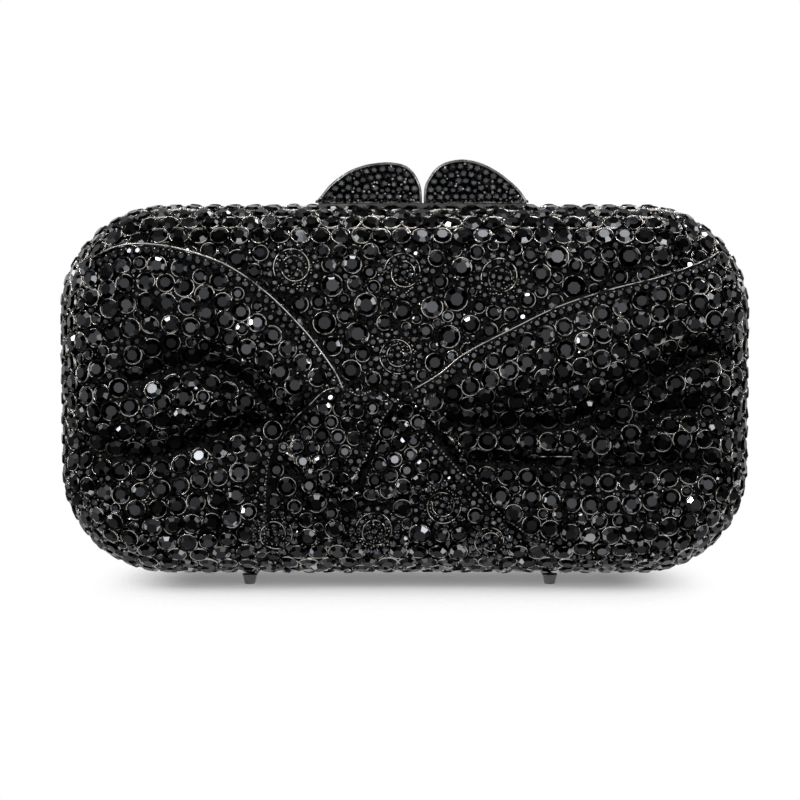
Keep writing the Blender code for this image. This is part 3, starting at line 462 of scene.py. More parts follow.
def along_outline(inset, shares):
    """Places and outward directions at shares of the girth of the outline drawn in by inset."""
    radius = CORNER_RADIUS - inset
    angles = np.linspace(0, math.pi / 2, 33)
    corners = [(1, 1), (-1, 1), (-1, -1), (1, -1)]
    points = []
    for index, (right, top) in enumerate(corners):
        turn = angles + index * math.pi / 2
        points.append(np.stack([right * (HALF_WIDTH - CORNER_RADIUS) + radius * np.cos(turn),
                                top * (HALF_HEIGHT - CORNER_RADIUS) + radius * np.sin(turn)], -1))
    ring = np.vstack(points + [points[0][:1]])
    length = np.concatenate([[0], np.cumsum(np.linalg.norm(np.diff(ring, axis=0), axis=1))])
    place = np.mod(np.asarray(shares, float), 1.0) * length[-1]
    x = np.interp(place, length, ring[:, 0])
    z = np.interp(place, length, ring[:, 1])
    step = length[-1] * 1e-4
    ahead = np.mod(place + step, length[-1])
    run = np.interp(ahead, length, ring[:, 0]) - x
    rise = np.interp(ahead, length, ring[:, 1]) - z
    size = np.maximum(np.hypot(run, rise), 1e-12)
    return x, z, rise / size, -run / size


def girth(inset):
    radius = CORNER_RADIUS - inset
    return 4 * (HALF_WIDTH + HALF_HEIGHT - 2 * CORNER_RADIUS) + 2 * math.pi * radius


FRONT = Half("front_half", -1, FRONT_DEPTH, FRONT_DEPTH - PLEAT_DEPTH - SHELL_WALL, FRONT_CROWN, True)
BACK = Half("back_half", 1, BACK_DEPTH, BACK_DEPTH - SHELL_WALL, BACK_CROWN, False)


# Mesh tools

def new_mesh(name, points, faces, smooth=True):
    """A mesh object from an array of points and a list of face tables, each (count, corners) of one size."""
    mesh = bpy.data.meshes.new(name)
    faces = [np.asarray(table, int) for table in faces if len(table)]
    corners = np.concatenate([table.ravel() for table in faces])
    totals = np.concatenate([np.full(len(table), table.shape[1]) for table in faces])
    mesh.vertices.add(len(points))
    mesh.vertices.foreach_set("co", np.asarray(points, float).ravel())
    mesh.loops.add(len(corners))
    mesh.loops.foreach_set("vertex_index", corners)
    mesh.polygons.add(len(totals))
    mesh.polygons.foreach_set("loop_start", np.concatenate([[0], np.cumsum(totals)[:-1]]))
    mesh.polygons.foreach_set("loop_total", totals)
    mesh.polygons.foreach_set("use_smooth", np.full(len(totals), smooth))
    mesh.update(calc_edges=True)
    thing = bpy.data.objects.new(name, mesh)
    bpy.context.scene.collection.objects.link(thing)
    return thing


def dress(thing, body, slot, material, *nodes):
    """Puts a piece on its body, in its finish, in place of CAD nodes where it stands for any."""
    thing.data.materials.append(material)
    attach(thing, body)
    if nodes:
        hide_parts(*nodes)
    return thing


def strip_faces(rows, columns, closed=True, ring=False):
    """Quads between rows of points. Closed joins the ends of each row, and ring the last row to the first."""
    row = np.arange(rows if ring else rows - 1)[:, None]
    column = np.arange(columns if closed else columns - 1)[None, :]
    start, below, ahead = row * columns, (row + 1) % rows * columns, (column + 1) % columns
    return np.stack([start + column, start + ahead, below + ahead, below + column], -1).reshape(-1, 4)


def flip(faces):
    return np.asarray(faces)[:, ::-1]


def turned(name, profile, centre, sides=40):
    """A turned solid about Z: a profile of (radius, height) from top to bottom, closed by its end rings."""
    profile = np.array(profile, float)
    angles = np.arange(sides) * 2 * math.pi / sides
    ring = np.stack([np.cos(angles), np.sin(angles)], -1)
    flat = profile[:, None, 0:1] * ring[None] + np.array(centre)
    height = np.broadcast_to(profile[:, None, 1:2], flat.shape[:2] + (1,))
    points = np.concatenate([flat, height], -1).reshape(-1, 3)
    ends = [np.arange(sides)[None], np.arange(sides)[None, ::-1] + (len(profile) - 1) * sides]
    return new_mesh(name, points, [flip(strip_faces(len(profile), sides)), *ends])


def sweep(path, ups, radius, sides=10):
    """Points and faces of a round wire along a path; ups are directions square to it."""
    path, ups = np.asarray(path), np.asarray(ups)
    ahead = unit(np.gradient(path, axis=0))
    across = unit(np.cross(ahead, ups))
    ups = np.cross(across, ahead)
    angles = np.arange(sides) * 2 * math.pi / sides
    ring = np.cos(angles)[None, :, None] * ups[:, None] + np.sin(angles)[None, :, None] * across[:, None]
    points = (path[:, None] + radius * ring).reshape(-1, 3)
    ends = [np.arange(sides)[None, ::-1], np.arange(sides)[None] + (len(path) - 1) * sides]
    return points, [flip(strip_faces(len(path), sides)), flip(ends[0]), flip(ends[1])]


def bar(name, lines, mirrored):
    """A four-sided bar between four lines of points, closed at its ends."""
    last = 4 * (len(lines[0]) - 1)
    faces = [strip_faces(len(lines[0]), 4), np.array([[3, 2, 1, 0]]), np.array([[0, 1, 2, 3]]) + last]
    faces = [flip(table) for table in faces] if mirrored else faces
    return new_mesh(name, np.stack(lines, 1).reshape(-1, 3), faces, False)


# Materials

def set_node(tree, node, **values):
    """Sets properties and inputs of a node by name; a value that is another node's output is linked."""
    for key, value in values.items():
        if hasattr(node, key):
            setattr(node, key, value)
        elif isinstance(value, bpy.types.NodeSocket):
            tree.links.new(value, node.inputs[key.replace("_", " ")])
        else:
            node.inputs[key.replace("_", " ")].default_value = value
    return node


def add_node(tree, kind, **values):
    return set_node(tree, tree.nodes.new(kind), **values)


def math_node(tree, operation, *sources):
    """The result of a sum over numbers and other nodes' outputs."""
    node = add_node(tree, "ShaderNodeMath", operation=operation)
    for socket, source in zip(node.inputs, sources):
        if isinstance(source, bpy.types.NodeSocket):
            tree.links.new(source, socket)
        else:
            socket.default_value = source
    return node.outputs[0]


def spread_node(tree, source, limits, levels):
    """A smooth step of a value: levels outside and inside a pair of limits."""
    step = add_node(tree, "ShaderNodeMapRange", interpolation_type="SMOOTHSTEP", Value=source,
                    From_Min=limits[0], From_Max=limits[1], To_Min=levels[0], To_Max=levels[1])
    return step.outputs["Result"]


def ramp_node(tree, source, *stops):
    """Colours over a value, through stops from place 0 to place 1; a colour that is one number is a grey."""
    node = add_node(tree, "ShaderNodeValToRGB", Fac=source)
    elements = node.color_ramp.elements
    for place, colour in stops:
        element = elements[0] if place == 0 else elements[-1] if place == 1 else elements.new(place)
        element.color = (*colour, 1) if isinstance(colour, tuple) else (colour, colour, colour, 1)
    return node.outputs["Color"]


def product(tree, first, *others):
    for other in others:
        first = math_node(tree, "MULTIPLY", first, other)
    return first


def greatest(tree, first, *others):
    for other in others:
        first = math_node(tree, "MAXIMUM", first, other)
    return first


def axes_of(tree, vector):
    return add_node(tree, "ShaderNodeSeparateXYZ", Vector=vector).outputs


def place_in(tree, space):
    return add_node(tree, "ShaderNodeTexCoord").outputs[space]


def tarnish_group():
    """Tarnish: how far a plating has dulled, from a wide and a fine noise over the object's own place."""
    group = bpy.data.node_groups.new("tarnish", "ShaderNodeTree")
    for way, names in (("INPUT", ("Scale", "Grain", "Low", "High")), ("OUTPUT", ("Amount", "Roughness"))):
        for name in names:
            group.interface.new_socket(name, in_out=way, socket_type="NodeSocketFloat")
    start = group.nodes.new("NodeGroupInput").outputs
    place = place_in(group, "Object")
    wide = add_node(group, "ShaderNodeTexNoise", Vector=place, Scale=start["Scale"], Detail=4.0,
                    Roughness=0.6)
    fine = add_node(group, "ShaderNodeTexNoise", Vector=place, Scale=2600.0, Detail=2.0)
    rest = math_node(group, "SUBTRACT", 1.0, start["Grain"])
    part = product(group, fine.outputs["Fac"], start["Grain"])
    mix = math_node(group, "MULTIPLY_ADD", wide.outputs["Fac"], rest, part)
    spread = add_node(group, "ShaderNodeMapRange", Value=mix, From_Min=0.32, From_Max=0.68).outputs["Result"]
    rough = add_node(group, "ShaderNodeMapRange", Value=spread, To_Min=start["Low"], To_Max=start["High"])
    add_node(group, "NodeGroupOutput", Amount=spread, Roughness=rough.outputs["Result"])
    return group


def tarnish(tree, scale, grain, rough):
    """The tarnish of one finish, with its roughness where it is bright and where it is dull."""
    return add_node(tree, "ShaderNodeGroup", node_tree=TARNISH, Scale=scale, Grain=grain, Low=rough[0],
                    High=rough[1]).outputs


def new_material(name, **values):
    """A material, its node tree and its shader, with some of the shader's inputs set."""
    material = bpy.data.materials.new(name)
    material.use_nodes = True
    tree = material.node_tree
    return material, tree, set_node(tree, tree.nodes["Principled BSDF"], **values)


def plated(name, bright, dull, rough, scale, edge=(0.0, 1.0), grain=0.3, dent=0.0, dent_scale=900.0,
           paints_pleat_shade=False):
    """A plated metal whose colour and polish change with its tarnish, and may be finely dented.

    The edge gives the amounts of tarnish between which the bright colour turns into the dull one. A metal
    that paints pleat shade is darker where its faces' glint is low, by the third power: painted shade on
    stones' cups down in a pleat, with a little random tone.
    """
    material, tree, shader = new_material(name, Metallic=1.0)
    wear = tarnish(tree, scale, grain, rough)
    dulled = spread_node(tree, wear["Amount"], edge, (0.0, 1.0))
    tint = add_node(tree, "ShaderNodeMix", data_type="RGBA", A=(*bright, 1), B=(*dull, 1), Factor=dulled)
    colour = tint.outputs["Result"]
    # Painted shade: the colour is scaled by the glint, which is low on cups in a pleat
    if paints_pleat_shade:
        glint = add_node(tree, "ShaderNodeAttribute", attribute_name="glint").outputs["Fac"]
        share = math_node(tree, "POWER", glint, 3.0)
        scaled = add_node(tree, "ShaderNodeVectorMath", operation="SCALE", Vector=colour, Scale=share)
        colour = scaled.outputs["Vector"]
    set_node(tree, shader, Base_Color=colour, Roughness=wear["Roughness"])
    if dent:
        place = place_in(tree, "Object")
        noise = add_node(tree, "ShaderNodeTexNoise", Vector=place, Scale=dent_scale, Detail=3.0)
        bump = add_node(tree, "ShaderNodeBump", Strength=dent, Distance=0.0003, Height=noise.outputs["Fac"])
        set_node(tree, shader, Normal=bump.outputs["Normal"])
    return material


def stone_material():
    """Black cut glass with a mirror back: each facet sends back its own share of the light, mostly little."""
    material, tree, shader = new_material("black_cut_glass", Metallic=1.0)
    glint = add_node(tree, "ShaderNodeAttribute", attribute_name="glint").outputs["Fac"]
    levels = ((0.33, 0.003), (0.46, 0.022), (0.68, 0.056), (0.80, 0.135), (0.92, 0.32))
    greys = [(place, (level * 0.96, level * 0.99, level * 1.05)) for place, level in levels]
    shade = ramp_node(tree, glint, (0, (0.0010, 0.0010, 0.0012)), *greys, (1, (0.90, 0.93, 0.97)))
    smear = tarnish(tree, 240.0, 0.3, (0.03, 0.14))
    set_node(tree, shader, Base_Color=shade, Roughness=smear["Roughness"])
    return material


def lining_material():
    """Black woven cloth: two crossed sets of fine ribs, with a soft sheen."""
    material, tree, shader = new_material("lining_cloth", Sheen_Weight=0.4, Sheen_Roughness=0.4)
    place = place_in(tree, "Object")
    ribs = [add_node(tree, "ShaderNodeTexWave", bands_direction=way, Vector=place, Scale=900.0).outputs["Fac"]
            for way in ("X", "Z")]
    both = greatest(tree, *ribs)
    shade = ramp_node(tree, both, (0, (0.006, 0.006, 0.007)), (1, (0.030, 0.029, 0.031)))
    bump = add_node(tree, "ShaderNodeBump", Strength=0.5, Distance=0.0001, Height=both)
    wear = tarnish(tree, 60.0, 0.3, (0.45, 0.75))
    set_node(tree, shader, Base_Color=shade, Normal=bump.outputs["Normal"], Roughness=wear["Roughness"])
    return material


TARNISH = tarnish_group()
BLACK_STONE = stone_material()
# The cups carry painted pleat shade from their glint
CUP_METAL = plated("cup_gunmetal", (0.90, 0.86, 0.81), (0.016, 0.015, 0.015), (0.14, 0.30), 330.0,
                   edge=(0.34, 0.60), grain=0.05, paints_pleat_shade=True)
SKIN_METAL = plated("skin_metal", (0.045, 0.044, 0.043), (0.0006, 0.0006, 0.0006), (0.25, 0.50), 900.0,
                    dent=1.0, dent_scale=3200.0)
BRIGHT_METAL = plated("bright_bead_metal", (0.96, 0.93, 0.88), (0.20, 0.19, 0.18), (0.16, 0.34), 700.0)
WIRE_METAL = plated("bright_wire_metal", (0.99, 0.95, 0.90), (0.05, 0.048, 0.046), (0.16, 0.34), 300.0,
                    edge=(0.40, 0.80), grain=0.10)
ROSETTE_METAL = plated("rosette_wire_metal", (0.98, 0.94, 0.88), (0.020, 0.020, 0.019), (0.16, 0.34), 420.0,
                       edge=(0.34, 0.72), grain=0.10)
GUNMETAL = plated("gunmetal_plate", (0.24, 0.235, 0.23), (0.12, 0.118, 0.115), (0.30, 0.46), 160.0)
PETAL_METAL = plated("petal_gunmetal", (0.62, 0.61, 0.59), (0.16, 0.155, 0.15), (0.16, 0.32), 380.0,
                     dent=0.3, dent_scale=1800.0)
STEEL = plated("plain_steel", (0.50, 0.50, 0.50), (0.34, 0.34, 0.34), (0.22, 0.40), 220.0)
LINING_CLOTH = lining_material()


# Small shapes that are stamped many times, in units of a stone's radius: points, how many of the last ones
# reach down to the skin, and faces, the table first

EIGHT = np.arange(8)
AFTER = (EIGHT + 1) % 8
BEFORE = (EIGHT - 1) % 8


def rings(*table):
    """Points of rings round Z, each given as its radius, height, count and the share of a step it turns."""
    points = []
    for radius, height, count, shift in table:
        angles = (np.arange(count) + shift) * 2 * math.pi / count
        ring = [radius * np.cos(angles), radius * np.sin(angles), np.full(count, height)]
        points.append(np.stack(ring, -1))
    return np.vstack(points)


def stone_shape():
    """A flat-backed stone: an eight-sided table and eight wide facets down to a round girdle."""
    crown = np.stack([EIGHT, 8 + 2 * EIGHT, 9 + 2 * EIGHT, 8 + (2 * EIGHT + 2) % 16, AFTER], -1)
    girdle = 8 + np.arange(15, -1, -1)
    return rings((0.52, CROWN_SHARE, 8, 0), (0.88, 0.0, 16, 0)), 0, [EIGHT[None], crown, girdle[None]]


def cup_shape(sides=14):
    """A thin round-topped metal rim on a tapered wall that reaches down to the skin."""
    profile = ((0.882, 0.010), (0.942, 0.080), (1.0, 0.015), (0.930, 0.0))
    points = rings(*((radius, height, sides, 0) for radius, height in profile))
    return points, sides, [flip(strip_faces(len(profile), sides, ring=True))]


def dome_shape():
    """A small stone: an eight-sided table, eight steep facets, and a short wall down to the skin."""
    crown = np.stack([EIGHT, 8 + EIGHT, 8 + AFTER, AFTER], -1)
    wall = np.stack([8 + EIGHT, 16 + EIGHT, 16 + AFTER, 8 + AFTER], -1)
    points = rings((0.60, 0.62, 8, 0), (0.96, 0.16, 8, 0), (0.90, 0.0, 8, 0))
    return points, 8, [EIGHT[None], crown, wall, 16 + EIGHT[None, ::-1]]


def button_shape():
    """A high faceted button, close to half a ball: three rings of eight and a small flat top."""
    crown = np.stack([EIGHT, 8 + EIGHT, AFTER], -1)
    kites = np.stack([EIGHT, 8 + BEFORE, 16 + EIGHT, 8 + EIGHT], -1)
    skirt = np.stack([8 + EIGHT, 16 + EIGHT, 16 + AFTER], -1)
    wall = np.stack([16 + EIGHT, 24 + EIGHT, 24 + AFTER, 16 + AFTER], -1)
    points = rings((0.42, 0.92, 8, 0), (0.82, 0.76, 8, 0.5), (1.0, 0.15, 8, 0), (0.86, -0.25, 8, 0))
    return points, 0, [EIGHT[None], crown, kites, skirt, wall, 24 + EIGHT[None, ::-1]]


def bead_shape():
    """A twenty-sided ball."""
    ratio = (1 + math.sqrt(5)) / 2
    points = np.array([(-1, ratio, 0), (1, ratio, 0), (-1, -ratio, 0), (1, -ratio, 0),
                       (0, -1, ratio), (0, 1, ratio), (0, -1, -ratio), (0, 1, -ratio),
                       (ratio, 0, -1), (ratio, 0, 1), (-ratio, 0, -1), (-ratio, 0, 1)]) / math.hypot(1, ratio)
    faces = np.array([(0, 11, 5), (0, 5, 1), (0, 1, 7), (0, 7, 10), (0, 10, 11),
                      (1, 5, 9), (5, 11, 4), (11, 10, 2), (10, 7, 6), (7, 1, 8),
                      (3, 9, 4), (3, 4, 2), (3, 2, 6), (3, 6, 8), (3, 8, 9),
                      (4, 9, 5), (2, 4, 11), (6, 2, 10), (8, 6, 7), (9, 8, 1)])
    return points, 0, [faces]


STONE_SHAPE, CUP_SHAPE, DOME_SHAPE = stone_shape(), cup_shape(), dome_shape()
BUTTON_SHAPE, BEAD_SHAPE = button_shape(), bead_shape()


def stamp(name, shape, centres, normals, sizes, smooth=False, lit=1.0, glints=TABLE_GLINTS, even=False):
    """Copies of a shape at each centre, its Z along the normal, turned at random about it.

    Each face gets a glint: how much light it sends back, by a list of shares on the tables, which are the
    first faces, and at random on all others; or nearly the same on all. Lit scales it, for all or each copy;
    given for each copy, it carries the painted shade of the pleats.
    """
    local, deep_count, faces = shape
    count = len(centres)
    lean = np.where(np.abs(normals[:, 2:3]) < 0.9, [[0.0, 0.0, 1.0]], [[1.0, 0.0, 0.0]])
    side = unit(np.cross(lean, normals))
    spin = RNG.uniform(0, 2 * math.pi, count)[:, None]
    first = np.cos(spin) * side + np.sin(spin) * np.cross(normals, side)
    second = np.cross(normals, first)
    deep = np.arange(len(local)) >= len(local) - deep_count
    height = np.where(deep[None, :], -CUP_BASE, local[None, :, 2] * sizes[:, None])
    wide = sizes[:, None, None] * local[None]
    points = (centres[:, None] + wide[..., 0:1] * first[:, None] + wide[..., 1:2] * second[:, None]
              + height[..., None] * normals[:, None])
    starts = np.arange(count)[:, None, None] * len(local)
    tables = [(table[None] + starts).reshape(-1, table.shape[1]) for table in faces]
    thing = new_mesh(name, points.reshape(-1, 3), tables, smooth)
    # A draw for each copy that nothing uses keeps all later draws in their order
    RNG.random(count)
    chance = RNG.random(len(thing.data.polygons))
    lit = np.concatenate([np.repeat(np.broadcast_to(lit, count), len(table)) for table in faces])
    glint = lit * (EVEN_GLINT[0] + EVEN_GLINT[1] * chance if even else chance)
    if not even:
        step = np.searchsorted([limit for limit, _, _ in glints], chance[:count])
        low, high = np.array(glints)[step, 1:].T
        glint[:count] = (low + (high - low) * RNG.random(count)) * lit[:count]
    thing.data.attributes.new("glint", "FLOAT", "FACE").data.foreach_set("value", glint)
    return thing


class Setting:
    """The stones already set on one half, and the places that are kept free for wires and rosettes."""

    def __init__(self, half, most=20000):
        self.half = half
        self.points, self.normals = np.zeros((2, most, 3))
        self.radii = np.zeros(most)
        self.kinds, self.zones = np.zeros((2, most), int)
        self.count = 0

    def room(self, point):
        """Distance from a point to the nearest rim already set."""
        if not self.count:
            return 1.0
        away = np.linalg.norm(self.points[:self.count] - point, axis=1) - self.radii[:self.count]
        return float(away.min())

    def put(self, point, normal, radius, kind, zone):
        index = self.count
        self.points[index], self.normals[index], self.radii[index] = point, normal, radius
        self.kinds[index], self.zones[index] = kind, zone
        self.count += 1

    def put_all(self, places, radius, kind, zone):
        """Sets one at each place on the face, room or not."""
        for point, normal in zip(*self.half.on_face(places[:, 0], places[:, 1])):
            self.put(point, normal, radius, kind, zone)

    def offer(self, points, normals, radii, kind, zone, tight):
        """Sets each stone in turn where it has room, and may overlap others the more, the less tight is."""
        for point, normal, radius in zip(points, normals, np.broadcast_to(radii, len(points))):
            if self.room(point) > radius * (2 * tight - 1):
                self.put(point, normal, radius, kind, zone)

    def offer_on_face(self, x, z, *values):
        self.offer(*self.half.on_face(x, z), *values)

    def fill(self, points, normals, largest, smallest, kind, zones, ease=FILL_EASE):
        """Fills gaps from the widest down, each stone as large as its gap and largest allow."""
        room = np.full(len(points), np.inf)
        for index in range(self.count):
            away = np.linalg.norm(points - self.points[index], axis=1) - self.radii[index]
            np.minimum(room, away, out=room)
        while True:
            index = int(room.argmax())
            if room[index] < smallest:
                break
            radius = min(room[index] * ease, largest)
            self.put(points[index], normals[index], radius, kind, zones[index])
            away = np.linalg.norm(points - points[index], axis=1) - radius
            np.minimum(room, away, out=room)


STONE, DOME, BEAD, GRIT, KEPT = range(5)
EDGE, LEFT, RIGHT, CENTRE, TAILS = range(5)
ZONE_NAMES = ("edge", "left_wing", "right_wing", "ground", "tails")


def zone_of(x, z):
    """Which part of the front a place belongs to."""
    zone = np.full(x.shape, CENTRE)
    zone[signed_distance(x, z, LEFT_WING) > 0] = LEFT
    zone[signed_distance(x, z, RIGHT_WING) > 0] = RIGHT
    tails = np.maximum(signed_distance(x, z, LEFT_TAIL), signed_distance(x, z, RIGHT_TAIL)) > 0
    zone[tails] = TAILS
    return zone


def spaced(half, line, pitch, shift):
    """Places along a line on the face, a pitch apart measured over the relief."""
    fine = np.stack([np.interp(np.linspace(0, 1, 200), np.linspace(0, 1, len(line)), line[:, axis])
                     for axis in (0, 1)], -1)
    solid = half.point(fine[:, 0], fine[:, 1])
    length = np.concatenate([[0], np.cumsum(np.linalg.norm(np.diff(solid, axis=0), axis=1))])
    places = np.arange(shift * pitch, length[-1], pitch)
    return np.stack([np.interp(places, length, fine[:, axis]) for axis in (0, 1)], -1)


def rows_between(guides, spacing):
    """Rows of places that pass from each guide line to the next, about a spacing apart."""
    lines = [from_photo(guide, 60) for guide in guides]
    rows = []
    for low, high in zip(lines, lines[1:]):
        count = max(1, round(float(np.linalg.norm(high - low, axis=1).mean()) / spacing))
        rows.extend(low + (high - low) * (step + 0.5) / count for step in range(count))
    return rows


def shifted(line, distance):
    """A line moved sideways, to the right of its own direction."""
    ahead = unit(np.gradient(line, axis=0))
    return line + distance * np.stack([ahead[:, 1], -ahead[:, 0]], -1)


def edge_row(half, reach, start):
    """Points and normals of a row round the rounded edge, its start moved on by a share of the pitch."""
    turn = half.turn_at(reach)
    count = round(girth(EDGE_ROUND * (1 - math.cos(turn))) / EDGE_PITCH)
    return half.on_edge((np.arange(count) + start) / count, turn)


def set_edge(setting, reaches):
    """Rows of stones round the rounded edge, each row half a pitch on from the one before."""
    for index, reach in enumerate(reaches):
        row = edge_row(setting.half, reach, 0.5 * (index % 2))
        setting.offer(*row, CUP_RADIUS, STONE, EDGE, TIGHT["edge"])


def scatter(half, count):
    """Random places over a half: on its face, and round its edge."""
    x = RNG.uniform(-HALF_WIDTH, HALF_WIDTH, count)
    z = RNG.uniform(-HALF_HEIGHT, HALF_HEIGHT, count)
    keep = inset_at(x, z) > EDGE_ROUND * 0.25
    x, z = x[keep], z[keep]
    points, normals = half.on_face(x, z)
    zones = zone_of(x, z) if half.relief else np.full(x.shape, CENTRE)
    reaches = np.linspace(*EDGE_SCATTER)
    edges = [half.on_edge(RNG.random(count // 60), half.turn_at(reach)) for reach in reaches]
    extra, extra_normals = (np.vstack(table) for table in zip(*edges))
    return (np.vstack([points, extra]), np.vstack([normals, extra_normals]),
            np.concatenate([zones, np.full(len(extra), EDGE)]))


def fill_gaps(setting, word, points, normals, zones):
    """Fills what is left with ever smaller things: stones, small stones, a few beads, and grit."""
    setting.fill(points, normals, *STONE_FILL[word], STONE, zones)
    setting.fill(points, normals, *SMALL_FILL, DOME, zones)
    some = RNG.random(len(points)) < BEAD_SHARE
    setting.fill(points[some], normals[some], BEAD_RADIUS, LEAST_BEAD[word], BEAD, zones[some])
    setting.fill(points, normals, GRIT_RADIUS, LEAST_BEAD[word], GRIT, zones)


def wing_edges():
    """The wires along both wings: each a line on the face, and the way its small stones lie from it."""
    left = shifted(from_shares(LEFT_WING_TOP_SHARES, 90), -WIRE_OFFSET)
    right = shifted(from_shares(RIGHT_WING_TOP_SHARES, 90), WIRE_OFFSET)
    return (("left", left, -1), ("right", right, 1))


def set_wing_edge(setting, line, way):
    """Keeps room for the wire, then sets the row of small stones and tiny beads beside it."""
    half = setting.half
    zone = LEFT if way < 0 else RIGHT
    setting.put_all(spaced(half, line, WIRE_STEP, 0), WIRE_ROOM, KEPT, EDGE)
    row = spaced(half, shifted(line, way * SMALL_ROW_OFFSET), BEADING_PITCH, 0.5)
    setting.put_all(row, SMALL_RADIUS, DOME, zone)
    beads = spaced(half, shifted(line, way * BEAD_ROW_OFFSET), BEADING_PITCH, 1.0)
    setting.put_all(beads, ROW_BEAD_RADIUS, BEAD, zone)


def set_row(setting, line, pitch, radius, kind, zone, tight):
    """A row of one kind along a line, where there is room."""
    x, z = spaced(setting.half, line, pitch, 0.5).T
    keep = inset_at(x, z) > FACE_START
    setting.offer_on_face(x[keep], z[keep], radius, kind, zone, tight)


def set_creases(setting):
    """A row of stones close along both sides of each crease."""
    for line, zone in zip(PLEATS, (LEFT, LEFT, RIGHT, RIGHT, RIGHT)):
        for way in (-1, 1):
            row = shifted(through(line, 60), way * CREASE_OFFSET)
            set_row(setting, row, EDGE_PITCH, CUP_RADIUS, STONE, zone, TIGHT["crease"])


def set_wing(setting, guides, zone, loop):
    """Rows of stones on a wing, along its guide lines and a little out of line."""
    for index, row in enumerate(rows_between(guides, ROW_SPACING)):
        places = spaced(setting.half, row, ROW_PITCH, 0.5 * (index % 2))
        x, z = (places + RNG.normal(0, ROW_SHIFT, places.shape)).T
        keep = (signed_distance(x, z, loop) > WING_MARGIN) & (inset_at(x, z) > FACE_START)
        radii = CUP_RADIUS * RNG.uniform(*SPREAD["wing"], int(keep.sum()))
        setting.offer_on_face(x[keep], z[keep], radii, STONE, zone, TIGHT["wing"])


def tail_rows(loop, angle, pitch):
    """Places of a six-sided pattern inside a loop, its rows turned by an angle."""
    reach = np.arange(-30, 31)
    column, row = np.meshgrid(reach, reach)
    across = (column + 0.5 * (row % 2)) * pitch
    up = row * pitch * 0.88
    middle = loop.mean(axis=0)
    x = (across * math.cos(angle) - up * math.sin(angle)).ravel() + middle[0]
    z = (across * math.sin(angle) + up * math.cos(angle)).ravel() + middle[1]
    keep = signed_distance(x, z, loop) > TAIL_MARGIN
    return x[keep], z[keep]


def set_front():
    """The front: wires, beads and rosettes, then rows on the edge and the bow, then the ground and gaps."""
    setting = Setting(FRONT)
    for _, line, way in wing_edges():
        set_wing_edge(setting, line, way)
    for table in FOLD_WIRES_PX:
        set_row(setting, from_photo(table, 60), WIRE_STEP, FOLD_ROOM, KEPT, TAILS, TIGHT["wires"])
    for table in FOLD_BEADS_PX:
        line = from_photo(table, 60)
        set_row(setting, line, FOLD_BEAD_PITCH, FOLD_BEAD_RADIUS, BEAD, TAILS, TIGHT["beads"])
        line = shifted(line, FOLD_STONE_OFFSET)
        set_row(setting, line, FOLD_STONE_PITCH, SMALL_RADIUS, DOME, TAILS, TIGHT["beads"])
    for centre, radius in zip(ROSETTE_CENTRES, ROSETTE_RADII):
        setting.put_all(centre[None], radius, KEPT, EDGE)
    set_edge(setting, EDGE_REACHES[:3])
    set_creases(setting)
    set_wing(setting, LEFT_ROW_GUIDES_PX, LEFT, LEFT_WING)
    set_wing(setting, RIGHT_ROW_GUIDES_PX, RIGHT, RIGHT_WING)
    for loop, (angle, pitch) in zip((LEFT_TAIL, RIGHT_TAIL), TAIL_ROWS):
        x, z = tail_rows(loop, angle, pitch)
        setting.offer_on_face(x, z, RNG.uniform(*TAIL_RADII, len(x)), STONE, TAILS, TIGHT["tail"])
    points, normals = edge_row(FRONT, EDGE_REACHES[3], 0.5)
    keep = zone_of(points[:, 0], points[:, 2] - MIDDLE_Z) == CENTRE
    setting.offer(points[keep], normals[keep], CUP_RADIUS, STONE, CENTRE, TIGHT["rim_row"])
    points, normals, zones = scatter(FRONT, 30000)
    ground = np.flatnonzero(zones == CENTRE)
    for radius, tries in GROUND_STONES:
        pick = RNG.choice(ground, tries)
        radii = radius * RNG.uniform(*SPREAD["ground"], tries)
        setting.offer(points[pick], normals[pick], radii, STONE, CENTRE, TIGHT["ground"])
    wings = np.isin(zones, (LEFT, RIGHT, EDGE))
    setting.fill(points[wings], normals[wings], *WING_FILL, STONE, zones[wings], WING_FILL_EASE)
    fill_gaps(setting, "front", points, normals, zones)
    return setting


def set_back():
    """The back is set in rows round its edge and level rows across its face."""
    setting = Setting(BACK)
    set_edge(setting, EDGE_REACHES)
    reach = np.arange(-20, 21)
    column, row = np.meshgrid(reach, reach)
    x = ((column + 0.5 * (row % 2)) * BACK_PITCH).ravel()
    z = (row * BACK_SPACING).ravel()
    keep = inset_at(x, z) > EDGE_ROUND * 0.5
    x, z = (np.stack([x[keep], z[keep]], -1) + RNG.normal(0, BACK_SHIFT, (int(keep.sum()), 2))).T
    radii = CUP_RADIUS * RNG.uniform(*SPREAD["back"], len(x))
    setting.offer_on_face(x, z, radii, STONE, CENTRE, TIGHT["back"])
    fill_gaps(setting, "back", *scatter(BACK, 16000))
    return setting


def painted_pleat_shade(points):
    """Painted shade in the pleats, as a factor on the stones' and cups' glint: 1, falling off smoothly to its
    least in the shade of each fold.
    """
    x, z = points[:, 0], points[:, 2] - MIDDLE_Z
    away = np.full(len(points), 1.0)
    for line in PLEATS:
        away = np.minimum(away, distance_to(x, z - PLEAT_SHADE_LIFT, line)[0])
    return 1 - PLEAT_SHADE * np.exp(-(away / PLEAT_SHADE_WIDTH) ** 2)


def tilted(normals, amount):
    """Normals leant a little at random, as hand-set stones are."""
    return unit(normals + RNG.normal(0, amount, normals.shape))


# What each small kind is: its name, shape, how deep it sits as a share of its radius and in metres, how much
# it is lit, whether its faces are lit alike, and its finish
SMALL_KINDS = {DOME: ("small_stones", DOME_SHAPE, 0.62, 0.00012, 0.76, True, "stones", BLACK_STONE),
               BEAD: ("beads", BEAD_SHAPE, 0.0, 0.00060, 1.0, False, "bright_wire", BRIGHT_METAL),
               GRIT: ("grit", BEAD_SHAPE, 0.0, 0.00105, 0.92, False, "stones", BLACK_STONE)}


